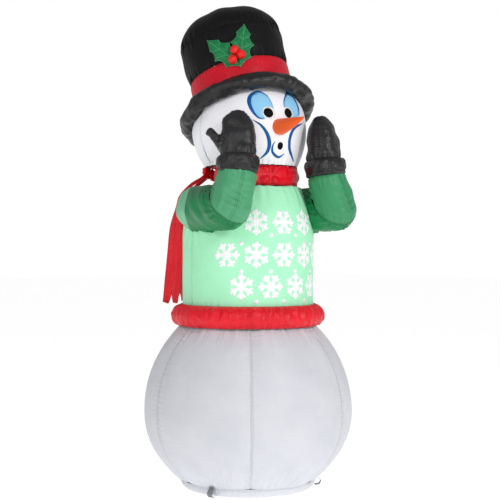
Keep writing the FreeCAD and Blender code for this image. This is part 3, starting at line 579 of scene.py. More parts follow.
def ball_radius(z):
    z = np.asarray(z, float)
    b = np.where(z < BALL_MID, BALL_LOW, BALL_HIGH)
    return BALL_R * np.sqrt(np.maximum(0, 1 - ((z - BALL_MID) / b) ** 2))


def ball_panel(k):
    start = math.radians(30 + 60 * k)
    az = start + np.radians(np.linspace(PANEL_GAP, 60 - PANEL_GAP, 97))[:, None]
    foot, crest = math.asin((0.0465 - BALL_MID) / BALL_LOW), math.asin((0.8145 - BALL_MID) / BALL_HIGH)
    t = np.linspace(foot, crest, 150)
    z = BALL_MID + np.where(t < 0, BALL_LOW, BALL_HIGH) * np.sin(t)
    r = BALL_R * np.cos(t)
    p = polar(az, r[None, :], z[None, :])
    edge = r[None, :] * np.minimum(az - start, start + math.radians(60) - az)
    zz = z[None, :] + 0 * az
    lift = -0.0026 * bell(edge, 0.006) - 0.0036 * bell(edge, 0.045)
    lift = lift + 0.0024 * waves(az * BALL_R, zz, 0.34, 3 + k) * ramp(edge, 0.0, 0.05) * ramp(zz, 0.047, 0.10)
    top = ramp(zz, 0.70, 0.81)
    lift = lift + 0.0034 * top * gathers(az, zz, 34, 64, 11, 9.0)
    low = ramp(zz, 0.19, 0.06) * ramp(zz, 0.047, 0.060)
    lift = lift + 0.0036 * low * gathers(az, zz, 40, 84, 12, 9.0)
    pinch = bell(edge, 0.05) * ramp(edge, 0.0, 0.008) * gathers(zz * 40, az, 5, 9, 13 + k, 2.0)
    lift = lift + 0.0012 * pinch * ramp(zz, 0.047, 0.08)
    near_port = ramp(np.hypot(p[..., 0], p[..., 2] - FAN_Z), 0.115, 0.18)
    behind = p[..., 1] > 0
    near_zip = ramp(np.abs(p[..., 2] - ZIP_Z), 0.02, 0.06)
    lift = np.where(behind & (np.abs(p[..., 0]) < 0.24), lift * near_port * near_zip, lift)
    p = pushed(p, lift, outward=(0, 0, BALL_MID))
    along = zz * np.ones_like(edge)
    obj = skin(f"ball_cloth_{k + 1}", p, WHITE, outward=(0, 0, BALL_MID), seam=(edge, along))
    if k == 2:
        cut_port(obj)
    return finish_piece(obj, "white_nylon", f"ball_panel_{k + 1}")


def cut_port(obj):
    """Opens the round hole for the fan."""
    turn = np.linspace(0, TAU, 96, endpoint=False)
    rod = np.stack([np.stack([PORT_R * np.cos(turn), 0 * turn + y, FAN_Z + PORT_R * np.sin(turn)], -1)
                    for y in (0.2, 0.6)])
    n = len(turn)
    faces = [(i, (i + 1) % n, n + (i + 1) % n, n + i) for i in range(n)]
    faces += [tuple(range(n))[::-1], tuple(range(n, 2 * n))]
    cutter = new_object("port_cutter", rod.reshape(-1, 3), faces, WHITE, smooth=False)
    weld(cutter, 1e-7)
    mod = obj.modifiers.new("port", "BOOLEAN")
    mod.operation, mod.object, mod.solver = "DIFFERENCE", cutter, "EXACT"
    apply_modifiers(obj)
    bpy.data.objects.remove(cutter)


def apply_modifiers(obj):
    graph = bpy.context.evaluated_depsgraph_get()
    graph.update()
    made = bpy.data.meshes.new_from_object(obj.evaluated_get(graph), depsgraph=graph)
    obj.modifiers.clear()
    old, obj.data = obj.data, made
    bpy.data.meshes.remove(old)


for k in range(6):
    ball_panel(k)


def base():
    turn = around(420)
    a = np.radians(np.linspace(-89, -1, 16))[None, :]
    r, z = 0.292 + 0.046 * np.cos(a), 0.046 + 0.046 * np.sin(a)
    rim = np.cos(a)
    r = r + rim * 0.0022 * gathers(turn, z, 60, 110, 21, 20.0) * ramp(z, 0.0, 0.02)
    p = polar(turn, r, z)
    edge = (0.046 - z) * np.ones_like(turn)
    band = skin("base_band_cloth", p, WHITE, wrap_u=True, outward=(0, 0, 0.046),
                seam=ring_seam(edge, turn, 0.338, z))
    finish_piece(band, "white_nylon", "base_band")
    # a thin corded seam where the foot band meets the ball
    tube = np.linspace(0, TAU, 10, endpoint=False)[None, :]
    r = 0.3378 + 0.0022 * np.cos(tube) + 0.0003 * gathers(turn, 0 * tube, 50, 90, 22)
    z = 0.0464 + 0.0020 * np.sin(tube) + 0 * turn
    cord = skin("base_seam", polar(turn, r, z), WHITE, 0, True, True, outward=(0, 0, 0.0468))
    finish_piece(weld(cord), "white_nylon")
    ring = np.linspace(0.002, 0.2905, 30)[None, :]
    coarse = turn[::4]
    sole = polar(coarse, ring, 0.0016 + 0.0006 * waves(ring * np.cos(coarse), ring * np.sin(coarse), 0.09, 5))
    sole[:, 0] = (0, 0, 0.0016)
    low = sole.copy()
    low[..., 2] = 0.0
    both = np.concatenate([sole, low[:, ::-1]], 1)
    obj = skin("base_panel_cloth", both, BASE_CLOTH, 0, True, False, outward=(0, 0, 0.0008))
    finish_piece(weld(obj), "base_cloth", "base_panel")


base()

# ---- sweater --------------------------------------------------------------------------------
SWEATER_R = 0.326
SHOULDER = np.array([-0.285, 0, 1.382])
ELBOW = np.array([-0.306, -0.323, 1.383])
WRIST = np.array([-0.253, -0.317, 1.538])
PROFILE = np.vstack([[(0.325, 0.8162), (0.326, 1.22)],
                     arc_through((0.326, 1.22), (0.311, 1.370), (0.263, 1.488))[1:],
                     [(0.255, 1.4905), (0.240, 1.4915), (0.205, 1.4925)]])
PROFILE = resample(PROFILE, 140)


def sweater_lift(az, r, z, side_edge):
    """Folds of the sweater: gathers at hem and neck, and creases that fan from the arms."""
    lift = -0.0035 * bell(side_edge, 0.006) - 0.002 * bell(side_edge, 0.03)
    lift = lift + 0.0018 * waves(az * SWEATER_R, z, 0.30, 31)
    lift = lift + 0.0022 * ramp(z, 0.97, 0.90) * gathers(az, z, 30, 60, 32, 9.0)
    lift = lift + 0.0026 * ramp(z, 1.36, 1.46) * gathers(az, z, 22, 44, 33, 6.0)
    for s in (-1, 1):
        arm = np.array([s * 0.311, -0.03, 1.382])
        p = polar(az, r, z)
        away = np.sqrt(np.sum((p - arm) ** 2, -1))
        turn = np.arctan2(p[..., 2] - arm[2], p[..., 1] - arm[1])
        lift = lift + 0.0042 * bell(away - 0.12, 0.06) * gathers(turn, 0 * away, 9, 17, 34, 0.0)
    return lift


def sweater(name, start):
    az = math.radians(start) + np.radians(np.linspace(PANEL_GAP, 180 - PANEL_GAP, 190))[:, None]
    r, z = PROFILE[None, :, 0], PROFILE[None, :, 1]
    side = SWEATER_R * np.minimum(az - math.radians(start), math.radians(start + 180) - az) + 0 * r
    p = pushed(polar(az, r, z), sweater_lift(az, r, z, side), outward=(0, 0, 1.15))
    obj = skin(name + "_cloth", p, MINT, outward=(0, 0, 1.15), seam=(side, z + 0 * az))
    return finish_piece(obj, "mint_nylon", name)


sweater("sweater_front", -90)
sweater("sweater_back", 90)


def on_sweater(x, z, h):
    """A point on the sweater's front from the distance round it, the height, and how far out."""
    az = x / SWEATER_R
    side = np.full_like(az, 1.0)
    step = 1e-3

    def at(a, zz):
        rr = np.interp(zz, PROFILE[:, 1], PROFILE[:, 0])
        return polar(a, rr, zz), sweater_lift(a, rr, zz, side)
    p, lift = at(az, z)
    pz, _ = at(az, z + step)
    pa, _ = at(az + step, z)
    n = unit(np.cross(pa - p, pz - p))
    n = np.where(np.sum(n * p * [1, 1, 0], -1, keepdims=True) < 0, -n, n)
    return p + n * (lift + h)[:, None]


def flake_outline(radius, arm, turn=0.0, twig=0.30):
    """A six-armed snowflake with one pair of twigs on each arm and round ends."""
    w, tw = arm / 2, 0.40 * arm
    c, n = math.cos(math.radians(57)), math.sin(math.radians(57))
    out, across, base = np.array([c, n]), np.array([-n, c]), 0.56 * radius
    foot = base + (w - tw * c) / n * c - tw * n
    top = base + (w + tw * c) / n * c + tw * n
    tip = np.array([base, 0]) + out * twig * radius
    side = [(foot, w)]
    side += [tuple(tip + tw * (across * math.cos(a) + out * math.sin(a)))
             for a in (0, 0.6, 1.2, 1.9, 2.5, math.pi)]
    side += [(top, w), (radius - w, w)]
    side += [(radius - w + w * math.sin(a), w * math.cos(a)) for a in (0.4, 0.8, 1.2)]
    half = np.array(side)
    full = np.vstack([half * [1, -1], [(radius, 0)], half[::-1]])
    points = []
    for i in range(6):
        a = math.radians(turn + 60 * i + 90)
        c, s = math.cos(a), math.sin(a)
        notch = 2.02 * w
        points.append((notch * math.cos(a - math.pi / 6), notch * math.sin(a - math.pi / 6)))
        points += [(c * px - s * py, s * px + c * py) for px, py in full]
    return np.array(points)


def ellipse(cx, cz, rx, rz, tilt=0.0, count=40):
    t = np.linspace(0, TAU, count, endpoint=False)
    x, z = rx * np.cos(t), rz * np.sin(t)
    c, s = math.cos(math.radians(tilt)), math.sin(math.radians(tilt))
    return np.stack([cx + c * x - s * z, cz + s * x + c * z], -1)


def snowflakes():
    rows = [(1.312, 1, 0.0, 0.064), (1.156, 2, 0.0, 0.066), (1.005, 2, 0.5, 0.064)]
    number = 0
    pitch = 0.143
    for z, reach, offset, radius in rows:
        places = [i + offset for i in range(-reach, reach + 1)]
        if offset:
            places = [i for i in places if abs(i) <= reach - 0.4]
        for i in places:
            number += 1
            turn = 0 if (number % 2) else 30
            line = flake_outline(radius, 0.0165, turn) + [i * pitch, z]
            obj = patch(f"snowflake_{number}", line, on_sweater, PRINT_WHITE, spacing=0.007)
            finish_piece(obj, "mint_nylon")
    dots = [(i * pitch + 0.5 * pitch, z) for z, ks in ((1.250, (-1, 0)), (1.346, (-2, 1)), (1.21, (-2, 1)),
                                                       (1.078, (-2, -1, 0, 1)), (0.935, (-1.5, -0.5, 0.5)))
            for i in ks]
    dots = [(x, z) for x, z in dots if abs(x) < 0.30]
    for n, (x, z) in enumerate(dots):
        obj = patch(f"snow_dot_{n + 1}", ellipse(x, z, 0.0105, 0.0105, 0, 18), on_sweater, PRINT_WHITE)
        finish_piece(obj, "mint_nylon")


snowflakes()


# ---- hem, neck and scarf ----------------------------------------------------------------------
def hem():
    turn = around(760)
    v = np.radians(np.linspace(-63, 84, 52))[None, :]
    edge = 0.06 * np.minimum(v - v.min(), v.max() - v)
    swell = ramp(edge, 0.0, 0.05)
    folds = 0.5 * gathers(turn, v, 24, 60, 41, 4.0) + 0.4 * gathers(turn, v, 60, 120, 42, 5.0)
    lift = 0.0040 * folds * (0.5 + 0.5 * ramp(edge, 0.06, 0.01)) * ramp(edge, 0.0, 0.008)
    slant = 1 - np.abs(np.sin(0.5 * (41 * turn + 3.1 * v) + 1.5 * waves(turn * 0.38, v * 0.06, 0.16, 44)))
    lift = lift + 0.0050 * (slant ** 3 - 0.3) * swell * (0.5 + 0.5 * waves(turn * 0.38, v * 0.06, 0.12, 45))
    lift = lift + 0.0036 * ring_waves(turn, v, 18, 52, 1, 3, 43) * swell
    lift = lift - 0.004 * (1 - ramp(edge, 0.0, 0.012))
    rr = 0.060 + lift
    p = polar(turn, 0.320 + rr * np.cos(v), 0.855 + rr * np.sin(v))
    obj = skin("hem_cloth", p, RED, wrap_u=True, outward=(0, 0, 0.855), seam=ring_seam(edge, turn, 0.38, v))
    return finish_piece(obj, "red_nylon", "hem_ring")


hem()
NECK_X, NECK_Y = 0.019, -0.012
NECK = np.vstack([[(0.2235, 1.4935)], arc_through((0.225, 1.4955), (0.231, 1.543), (0.219, 1.590))])
NECK = resample(NECK, 56)


def neck():
    az = around(420)
    r, z = NECK[None, :, 0], NECK[None, :, 1]
    x = (np.degrees(az + math.radians(9.3)) + 180) % 360 - 180
    x, h = np.radians(x) * 0.231, z - 1.543
    far = np.hypot(x, h)
    way = np.arctan2(h, x)
    star = np.cos(4 * way - math.pi + 0.3) * bell(far, 0.075) * ramp(far, 0.004, 0.03)
    lift = 0.0075 * star - 0.008 * bell(far, 0.016)
    lift = lift + 0.0035 * waves(az * 0.23, z * 2.2, 0.11, 51) * ramp(far, 0.03, 0.10)
    lift = lift + (0.0034 * gathers(az, z, 12, 30, 52, 26.0) * ramp(np.abs(h), 0.02, 0.047)
                   * ramp(far, 0.02, 0.08))
    knot = bell((np.degrees(az) - 214 + 180) % 360 - 180, 26)
    lift = lift + 0.004 * knot * gathers(az, z, 26, 48, 53, 60.0)
    pull = (bell((np.degrees(az) - 236 + 180) % 360 - 180, 27) * ramp(z, 1.4935, 1.4975)
            * ramp(z, 1.5925, 1.583))
    lift = lift * (1 - bell(z - z.min(), 0.002)) - 0.056 * pull
    p = polar(az, r + lift, z + 0.0015 * gathers(az, 0 * z, 10, 24, 54) * ramp(h, 0.02, 0.047))
    p = p + [NECK_X, NECK_Y, 0]
    edge = np.minimum(z - z.min(), z.max() - z)
    obj = skin("neck_cloth", p, RED, 0.002, wrap_u=True, outward=(NECK_X, NECK_Y, 1.543),
               seam=ring_seam(edge, az, 0.23, z))
    return finish_piece(obj, "red_nylon", "neck_band")


neck()


def knot():
    """Two crumpled lobes with a wrap round the middle."""
    az = math.radians(-146)
    out, side = compass(az)
    centre = polar(az, 0.211, 1.563)
    a = around(96)
    b = np.linspace(0.0, math.pi, 60)[None, :]
    length = -0.070 * np.cos(b) + 0 * a
    waist = 0.5 + 0.5 * ramp(np.abs(length), 0.006, 0.030)
    girth = np.sin(b) ** 0.7 * waist
    girth = girth * (1 + 0.17 * gathers(a, length, 4, 8, 61, 30.0) * ramp(np.abs(length), 0.004, 0.02))
    up = 0.036 * girth * np.sin(a) + 0.010 * np.sign(length) * ramp(np.abs(length), 0.01, 0.05)
    deep = 0.025 * girth * np.cos(a)
    p = centre + length[..., None] * side + up[..., None] * Z + deep[..., None] * out
    obj = weld(skin("scarf_knot_cloth", p, RED, 0, True, outward=centre))
    finish_piece(obj, "red_nylon", "scarf_knot")
    b = around(64)
    w = np.linspace(-1, 1, 15)[None, :]
    crumple = 1 + 0.06 * gathers(b, w, 5, 9, 62, 2.0)
    thick = 0.010 + 0.006 * np.sqrt(np.maximum(0, 1 - w ** 2))
    p = (centre + (0.011 * w + 0 * b)[..., None] * side
         + (crumple * (thick + 0.010) * np.sin(b))[..., None] * Z
         + (crumple * thick * np.cos(b))[..., None] * out)
    obj = skin("scarf_knot_wrap", p, RED, 0.002, wrap_u=True, outward=centre)
    return finish_piece(obj, "red_nylon")


knot()


TAIL_HALF, TAIL_CUT, NOTCH_AREA = 0.0625, 0.130, 0.001


def tail(name, az_deg, path, seed, lay):
    """A hanging end of the scarf: pleated into the knot, open below, with a forked end."""
    az = math.radians(az_deg)
    out, side = compass(az)
    points = [(r / 1000, z / 1000) for r, z in path]
    line = smooth_path([(0.214, 1.558)] + points + [(points[-1][0] + 0.0035, 0.917)], 170)
    centre = line[:, :1] * out + line[:, 1:] * Z
    along = unit(np.gradient(centre, axis=0))
    fall = np.linspace(0, 1, 170)[:, None]
    twist = np.radians(lay + (50 - lay) * ramp(fall, 0.24, 0.48))
    sideways = -np.sin(twist) * out + np.cos(twist) * side
    face = unit(np.cross(sideways, along))
    if np.mean(face @ out) < 0:
        face = -face
    run = np.concatenate([[0], np.cumsum(np.linalg.norm(np.diff(centre, axis=0), axis=1))])
    v = np.linspace(-1, 1, 49)[None, :]
    total = run[-1]
    fork = total - 0.043 * np.clip(1 - np.abs(v) / 0.36, 0, 1)
    s = run[:, None] / total
    late = ramp(s, 0.80, 1.0)
    place = (1 - late) * run[:, None] + late * (run[:, None] - (total - fork) * late)
    index = np.interp(place, run, np.arange(len(run)))
    at = np.stack([np.interp(index, np.arange(len(run)), centre[:, k]) for k in range(3)], -1)
    norm = np.stack([np.interp(index, np.arange(len(run)), face[:, k]) for k in range(3)], -1)
    across = np.stack([np.interp(index, np.arange(len(run)), sideways[:, k]) for k in range(3)], -1)
    open_ = ramp(place, 0.02, 0.62)
    width = 0.021 + (TAIL_HALF - 0.021) * open_
    pleat = 0.0042 + 0.0040 * (1 - open_)
    wave = np.sin(v * math.pi * (1.5 + 0.2 * seed) + 0.7 * np.sin(place * 7 + seed) + seed)
    slow = 0.006 * np.sin(place * 6.0 + 1.3 * v + seed) * ramp(place, 0.15, 0.5)
    p = at + (v * width)[..., None] * across + (pleat * wave + slow)[..., None] * norm
    obj = skin(name + "_cloth", p, RED, 0.0014, outward=p.reshape(-1, 3).mean(0) - out,
               seam=(TAIL_HALF - np.abs(v) * TAIL_HALF + 0 * place, place + 0 * v))
    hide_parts(name)
    hinge = polar(az, path[0][0] / 1000, path[0][1] / 1000)
    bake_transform(obj)
    return obj


OUTER = [(240, 1536), (290, 1506), (346, 1447), (358, 1385), (367, 1278), (374, 1138), (396, 935)]
INNER = [(255, 1528), (298, 1496), (336, 1443), (350, 1385), (360, 1270), (370, 1090), (383, 935)]
tail("scarf_tail_outer", -131, OUTER, 1.0, 15)
tail("scarf_tail_inner", -146, INNER, 2.2, 34)

# ---- head -------------------------------------------------------------------------------------
HEAD_R, HEAD_Z, HEAD_LOW = 0.284, 1.775, 0.339
HEAD_X, HEAD_Y = 0.0060, -0.0038
HAT = np.array([-0.002, 0.010, 1.893])
HAT_AXES = frame_of((-0.078, 0.314, 0.946))
BRIM = np.array([0.005, 0.012, 1.857])
BRIM_AXES = frame_of((0.05, 0.455, 0.889))


def head_section(z):
    """Radius and centre of the head at a height; it leans to its left towards the neck."""
    z = np.asarray(z, float)
    b = np.where(z < HEAD_Z, HEAD_LOW, HEAD_R)
    r = HEAD_R * np.sqrt(np.maximum(0, 1 - ((z - HEAD_Z) / b) ** 2))
    t = np.clip((HEAD_Z - z) / 0.184, 0, 1) ** 2
    return r * (1 - 0.035 * t), HEAD_X + 0.0070 * t, HEAD_Y - 0.0045 * t


def head_half(name, start):
    az = math.radians(start) + np.radians(np.linspace(PANEL_GAP, 180 - PANEL_GAP, 150))[:, None]
    t = np.linspace(0, 1, 130)[None, :]
    low = math.asin((1.5912 - HEAD_Z) / HEAD_LOW)
    tries = np.linspace(low, math.radians(89), 500)[None, :]
    z = HEAD_Z + np.where(tries < 0, HEAD_LOW, HEAD_R) * np.sin(tries)
    r = HEAD_R * np.cos(tries)
    high = np.sum((polar(az, r, z) - HAT) * HAT_AXES[2], -1) > 0.034
    top = tries[0, np.where(high.any(1), high.argmax(1), tries.shape[1] - 1)][:, None]
    angle = low + (top - low) * t
    z = HEAD_Z + np.where(angle < 0, HEAD_LOW, HEAD_R) * np.sin(angle)
    r, sx, sy = head_section(z)
    side = r * np.minimum(az - math.radians(start), math.radians(start + 180) - az)
    lift = -0.0012 * bell(side, 0.004) - 0.0012 * bell(side, 0.03)
    lift = lift + 0.0030 * ramp(z, 1.640, 1.597) * gathers(az, z, 26, 52, 71, 9.0)
    off_face = 1 - ramp(np.cos(az), 0.50, 0.66)
    lift = lift + 0.0018 * waves(az * 0.284, z, 0.24, 72) * off_face
    p = pushed(polar(az, r, z), lift, outward=(0, 0, HEAD_Z))
    p = p + np.stack([sx, sy, 0 * sx], -1)
    # the head takes the lighter copy of the white nylon, painted light
    obj = skin(name + "_cloth", p, HEAD_WHITE_PAINTED_LIGHT, outward=(0, 0, HEAD_Z), seam=(side, z + 0 * az))
    return finish_piece(obj, "white_nylon", name)


head_half("face_panel", -90)
head_half("head_back_panel", 90)


def on_face(x, z, h):
    """A point on the face from its place seen from the front, and how far out."""
    def at(x, z):
        r, sx, sy = head_section(z)
        return np.stack([x + sx, sy - np.sqrt(np.maximum(1e-6, r ** 2 - x ** 2)), z], -1)
    p = at(x, z)
    n = unit(np.cross(at(x + 1e-3, z) - p, at(x, z + 1e-3) - p))
    n = np.where(n[:, 1:2] > 0, -n, n)
    return p + n * (np.asarray(h) + 0 * x)[:, None]


def loop(points, count=60):
    """A smooth closed line through points in millimetres."""
    p = np.array(points, float) / 1000
    q = np.vstack([p[-2:], p, p[:2]])
    full = smooth_path(q, 6 * count)
    d0 = np.linalg.norm(full - p[0], axis=1)
    first = int(np.argmin(d0[:len(full) // 3]))
    last = len(full) - 1 - int(np.argmin(d0[::-1][:len(full) // 3]))
    return resample(full[first:last + 1], count + 1)[:-1]


def stroke(points, widths, count=40):
    """The outline of a drawn line, in millimetres, whose width swells and tapers."""
    line = smooth_path(np.array(points, float) / 1000, count)
    w = np.interp(np.linspace(0, 1, count), np.linspace(0, 1, len(widths)), widths) / 2000
    way = unit(np.gradient(line, axis=0))
    across = np.stack([-way[:, 1], way[:, 0]], -1)
    return np.vstack([line + across * w[:, None], (line - across * w[:, None])[::-1]])


RIGHT_EYE = [(-139, 1887), (-121, 1922), (-81, 1940), (-50, 1924), (-36, 1890), (-33, 1847), (-50, 1818),
             (-81, 1806), (-112, 1812), (-134, 1845)]
LEFT_EYE = [(29, 1860), (35, 1892), (55, 1920), (82, 1943), (104, 1943), (129, 1918), (139, 1871),
            (130, 1838), (104, 1822), (60, 1822), (36, 1836)]


def face_print():
    def put(name, line, material, level, spacing=0.012):
        obj = patch(name, line, on_face, material, height=0.0005 + 0.0004 * level, spacing=spacing)
        finish_piece(obj, "white_nylon")
    put("eye_patch_right", loop(RIGHT_EYE), PRINT_SKY, 0)
    put("eye_patch_left", loop(LEFT_EYE), PRINT_SKY, 0)
    put("eye_line_right", stroke([(-46, 1920), (-81, 1941), (-121, 1923), (-140, 1887), (-135, 1845),
                                  (-113, 1811), (-84, 1803)], [2, 8, 13, 16, 14, 9, 2]), PRINT_BLUE, 1)
    put("eye_line_left", stroke([(29, 1862), (36, 1894), (56, 1922), (84, 1946), (105, 1946), (131, 1919),
                                 (141, 1871), (131, 1832)], [2, 5, 7, 10, 13, 14, 13, 3]), PRINT_BLUE, 1)
    put("eye_halo_right", ellipse(-0.060, 1.8345, 0.033, 0.033), PRINT_WHITE, 1.5)
    put("eye_halo_left", ellipse(0.048, 1.8390, 0.033, 0.033), PRINT_WHITE, 1.5)
    put("pupil_right", ellipse(-0.062, 1.8350, 0.0235, 0.0235), PRINT_BLACK, 2.5)
    put("pupil_left", ellipse(0.050, 1.8400, 0.0240, 0.0235), PRINT_BLACK, 2.5)
    put("cheek_line_right", stroke([(-135, 1799), (-98, 1771), (-68, 1728), (-56, 1684), (-63, 1648),
                                    (-88, 1618)], [3, 11, 16, 19, 16, 4]), PRINT_BLUE, 1)
    put("cheek_line_left", stroke([(160, 1800), (98, 1776), (69, 1747), (57, 1705), (68, 1660), (112, 1612)],
                                  [3, 12, 17, 18, 15, 4]), PRINT_BLUE, 1)
    put("mouth", ellipse(0.003, 1.680, 0.0155, 0.0180), PRINT_BLACK, 2)
    put("chin_line", stroke([(-29, 1699), (-39, 1677), (-33, 1647), (2, 1627), (34, 1645)],
                            [3, 10, 13, 10, 3]), PRINT_BLUE, 1)


face_print()


def nose():
    """A carrot with a nearly straight top and a fuller underside."""
    pitch = math.radians(-1.8)
    way = np.array([0, -math.cos(pitch), math.sin(pitch)])
    up = np.array([0, math.sin(pitch), math.cos(pitch)])
    base = np.array([0.0045, -0.264, 1.7760])
    a = around(72)
    s = np.concatenate([np.linspace(0, 0.85, 56), np.linspace(0.865, 1, 14)])[None, :]
    high = 0.0440 * np.clip(1 - s, 0, 1) ** 0.76 * (1 - 0.16 * bell(s, 0.05))
    wide = 0.0490 * np.clip(1 - s, 0, 1) ** 0.78 * (1 - 0.10 * bell(s, 0.05))
    drop = 0.036 - 0.004 * s - high
    crease = 1 + 0.022 * gathers(a, s, 4, 9, 81, 9.0) * ramp(s, 0.55, 0.0)
    p = (base + (s * 0.222 + 0 * a)[..., None] * way
         + (high * crease * np.sin(a) + drop)[..., None] * up + (wide * crease * np.cos(a))[..., None] * X)
    obj = weld(skin("nose_cloth", p, ORANGE, 0.0014, True, outward=base + way * 0.08,
                    seam=(s * 0.222 - 0.012 + 0 * a, a * 0.04 + 0 * s)))
    return finish_piece(obj, "orange_nylon", "carrot_nose")


nose()


# ---- hat --------------------------------------------------------------------------------------
def in_frame(centre, axes, angle, radius, height):
    u, v, w = axes
    angle, radius, height = np.broadcast_arrays(angle, radius, height)
    return centre + (radius * np.cos(angle))[..., None] * u + (radius * np.sin(angle))[..., None] * v \
        + height[..., None] * w


def brim():
    turn = around(640)
    v = np.linspace(0, TAU, 60, endpoint=False)[None, :]
    inner = bell(np.abs((v % TAU) - math.pi), 1.15)
    folds = 0.6 * gathers(turn, v, 12, 34, 91, 1.6) + 0.4 * gathers(turn, v, 40, 80, 92, 2.0)
    lift = 0.0022 * folds * (0.10 + 0.90 * inner)
    lift = lift + 0.0032 * ring_waves(turn, v, 5, 16, 1, 3, 93)
    lift = lift + 0.0011 * ring_waves(turn, v, 16, 44, 2, 5, 94)
    tube = 0.0425 + lift - 0.0015
    p = in_frame(BRIM, BRIM_AXES, turn, 0.300 + tube * np.cos(v), tube * np.sin(v) * 0.98)
    edge = 0.043 * np.abs((v % TAU) - math.pi)
    seam = (np.concatenate([edge, edge[:, :1]], 1) + 0 * np.vstack([turn, [[0]]]),
            np.vstack([turn, [[TAU]]]) * 0.3 + 0 * np.concatenate([v, v[:, :1]], 1))
    obj = skin("brim_cloth", p, BRIM_CLOTH, 0, True, True, outward=BRIM, seam=seam)
    return finish_piece(weld(obj), "charcoal_nylon", "hat_brim")


brim()


def hat_shell(name, node, profile, material, slot, folds, seed, rows=40, cap=False):
    """A piece of the hat turned about the crown's axis, with gathers next to its seams."""
    line = resample(np.asarray(profile, float), rows)
    a = around(440)
    r, h = line[None, :, 0], line[None, :, 1]
    run = np.concatenate([[0], np.cumsum(np.linalg.norm(np.diff(line, axis=0), axis=1))])[None, :]
    edge = run if cap else np.minimum(run, run[0, -1] - run)
    lift = folds * gathers(a, h, 26, 70, seed, 14.0) * ramp(edge, 0.06, 0.004)
    lift = lift + 0.7 * folds * waves(a * 0.25, h, 0.16, seed + 1) * ramp(edge, 0.0, 0.03)
    lift = lift - 0.0015 * bell(edge, 0.005)
    puff = 0.003 * np.sin(math.pi * np.clip(run / run[0, -1], 0, 1)) if not cap else 0
    slope = unit(np.stack([np.gradient(line[:, 1]), -np.gradient(line[:, 0])], -1))
    push = lift + puff
    if cap:
        push = push * np.clip(r / 0.05, 0, 1)
    p = in_frame(HAT, HAT_AXES, a, r + push * slope[None, :, 0], h + push * slope[None, :, 1])
    if cap:
        p[:, -1] = p[:, -1].mean(0)
    obj = skin(name, p, material, 0.0016, wrap_u=True, outward=HAT + HAT_AXES[2] * 0.15,
               seam=ring_seam(edge, a, 0.25, h))
    if cap:
        weld(obj)
    return finish_piece(obj, slot, node)


CROWN_R = 0.258
hat_shell("hat_band_cloth", "hat_band", [(0.2465, 0.012), (0.247, 0.020), (0.2495, 0.1645)], BAND_RED,
          "red_nylon", 0.0009, 101)
hat_shell("crown_cloth", "hat_crown", [(0.2495, 0.1662), (0.254, 0.250), (CROWN_R, 0.3452)], BLACK,
          "black_nylon", 0.0026, 103, 60)
rise = np.linspace(0, math.pi / 2, 60)
DOME = np.stack([CROWN_R * np.cos(rise) ** 0.86, 0.3462 + 0.160 * np.sin(rise) ** 0.98], -1)
hat_shell("hat_top_cloth", "hat_top", DOME, BLACK, "black_nylon", 0.0028, 105, 70, True)


def skirt():
    """The hat's underside, from the crown's foot down to the brim at the back."""
    a = around(300)
    t = np.linspace(0, 1, 26)[None, :]
    top = in_frame(HAT, HAT_AXES, a, np.array([[0.2462]]), np.array([[0.0225]]))
    low = in_frame(BRIM, BRIM_AXES, a, np.array([[0.272]]), np.array([[0.004]]))
    p = top + (low - top) * t[..., None]
    middle = np.array([HEAD_X, HEAD_Y, HEAD_Z])
    away = p - middle
    size = np.linalg.norm(away, axis=-1, keepdims=True)
    keep = 0.2905 + 0.0012 * gathers(a, t, 20, 50, 111, 2.0)[..., None] * np.sin(math.pi * t)[..., None]
    p = np.where(size < keep, middle + away / size * keep, p)
    obj = skin("hat_skirt_cloth", p, CHARCOAL, 0.0012, wrap_u=True, outward=(0, 0, HEAD_Z))
    return finish_piece(obj, "charcoal_nylon", "hat_skirt")


skirt()
HOLLY_AZ = math.radians(-27)


def on_crown(az, height, lean, stand):
    """Places a leaf's plane outline round the crown."""
    c, s = math.cos(math.radians(lean)), math.sin(math.radians(lean))

    def place(x, y, h):
        across, up = c * x - s * y, s * x + c * y
        z = height + up
        r = 0.2505 + 0.03 * np.clip(z - 0.16, 0, 0.2) + stand + h
        a = HOLLY_AZ + math.radians(az) + across / CROWN_R - math.pi / 2
        return in_frame(HAT, HAT_AXES, a, r, z)
    return place


def leaf_outline():
    spikes = [(0, 0), (0.85, 0.26), (1.0, 0.55), (0.62, 0.78), (0, 1)]
    right = [(x * 0.058, z * 0.230) for x, z in spikes]
    corners = right + [(-x, z) for x, z in reversed(right[:-1])]
    line = []
    for (x0, z0), (x1, z1) in zip(corners, corners[1:]):
        for t in np.linspace(0, 1, 9)[:-1]:
            bow = 4 * t * (1 - t)
            mx = -0.22 * (x0 + x1) / 2
            line.append((x0 + (x1 - x0) * t + bow * mx * 1.3, z0 + (z1 - z0) * t + bow * 0.003))
    return np.array(line)


VEINS = [((0, 0.02), (0, 0.205))]
VEINS += [((0, z), (s * 0.040, z + 0.034)) for z in (0.045, 0.092, 0.140) for s in (-1, 1)]


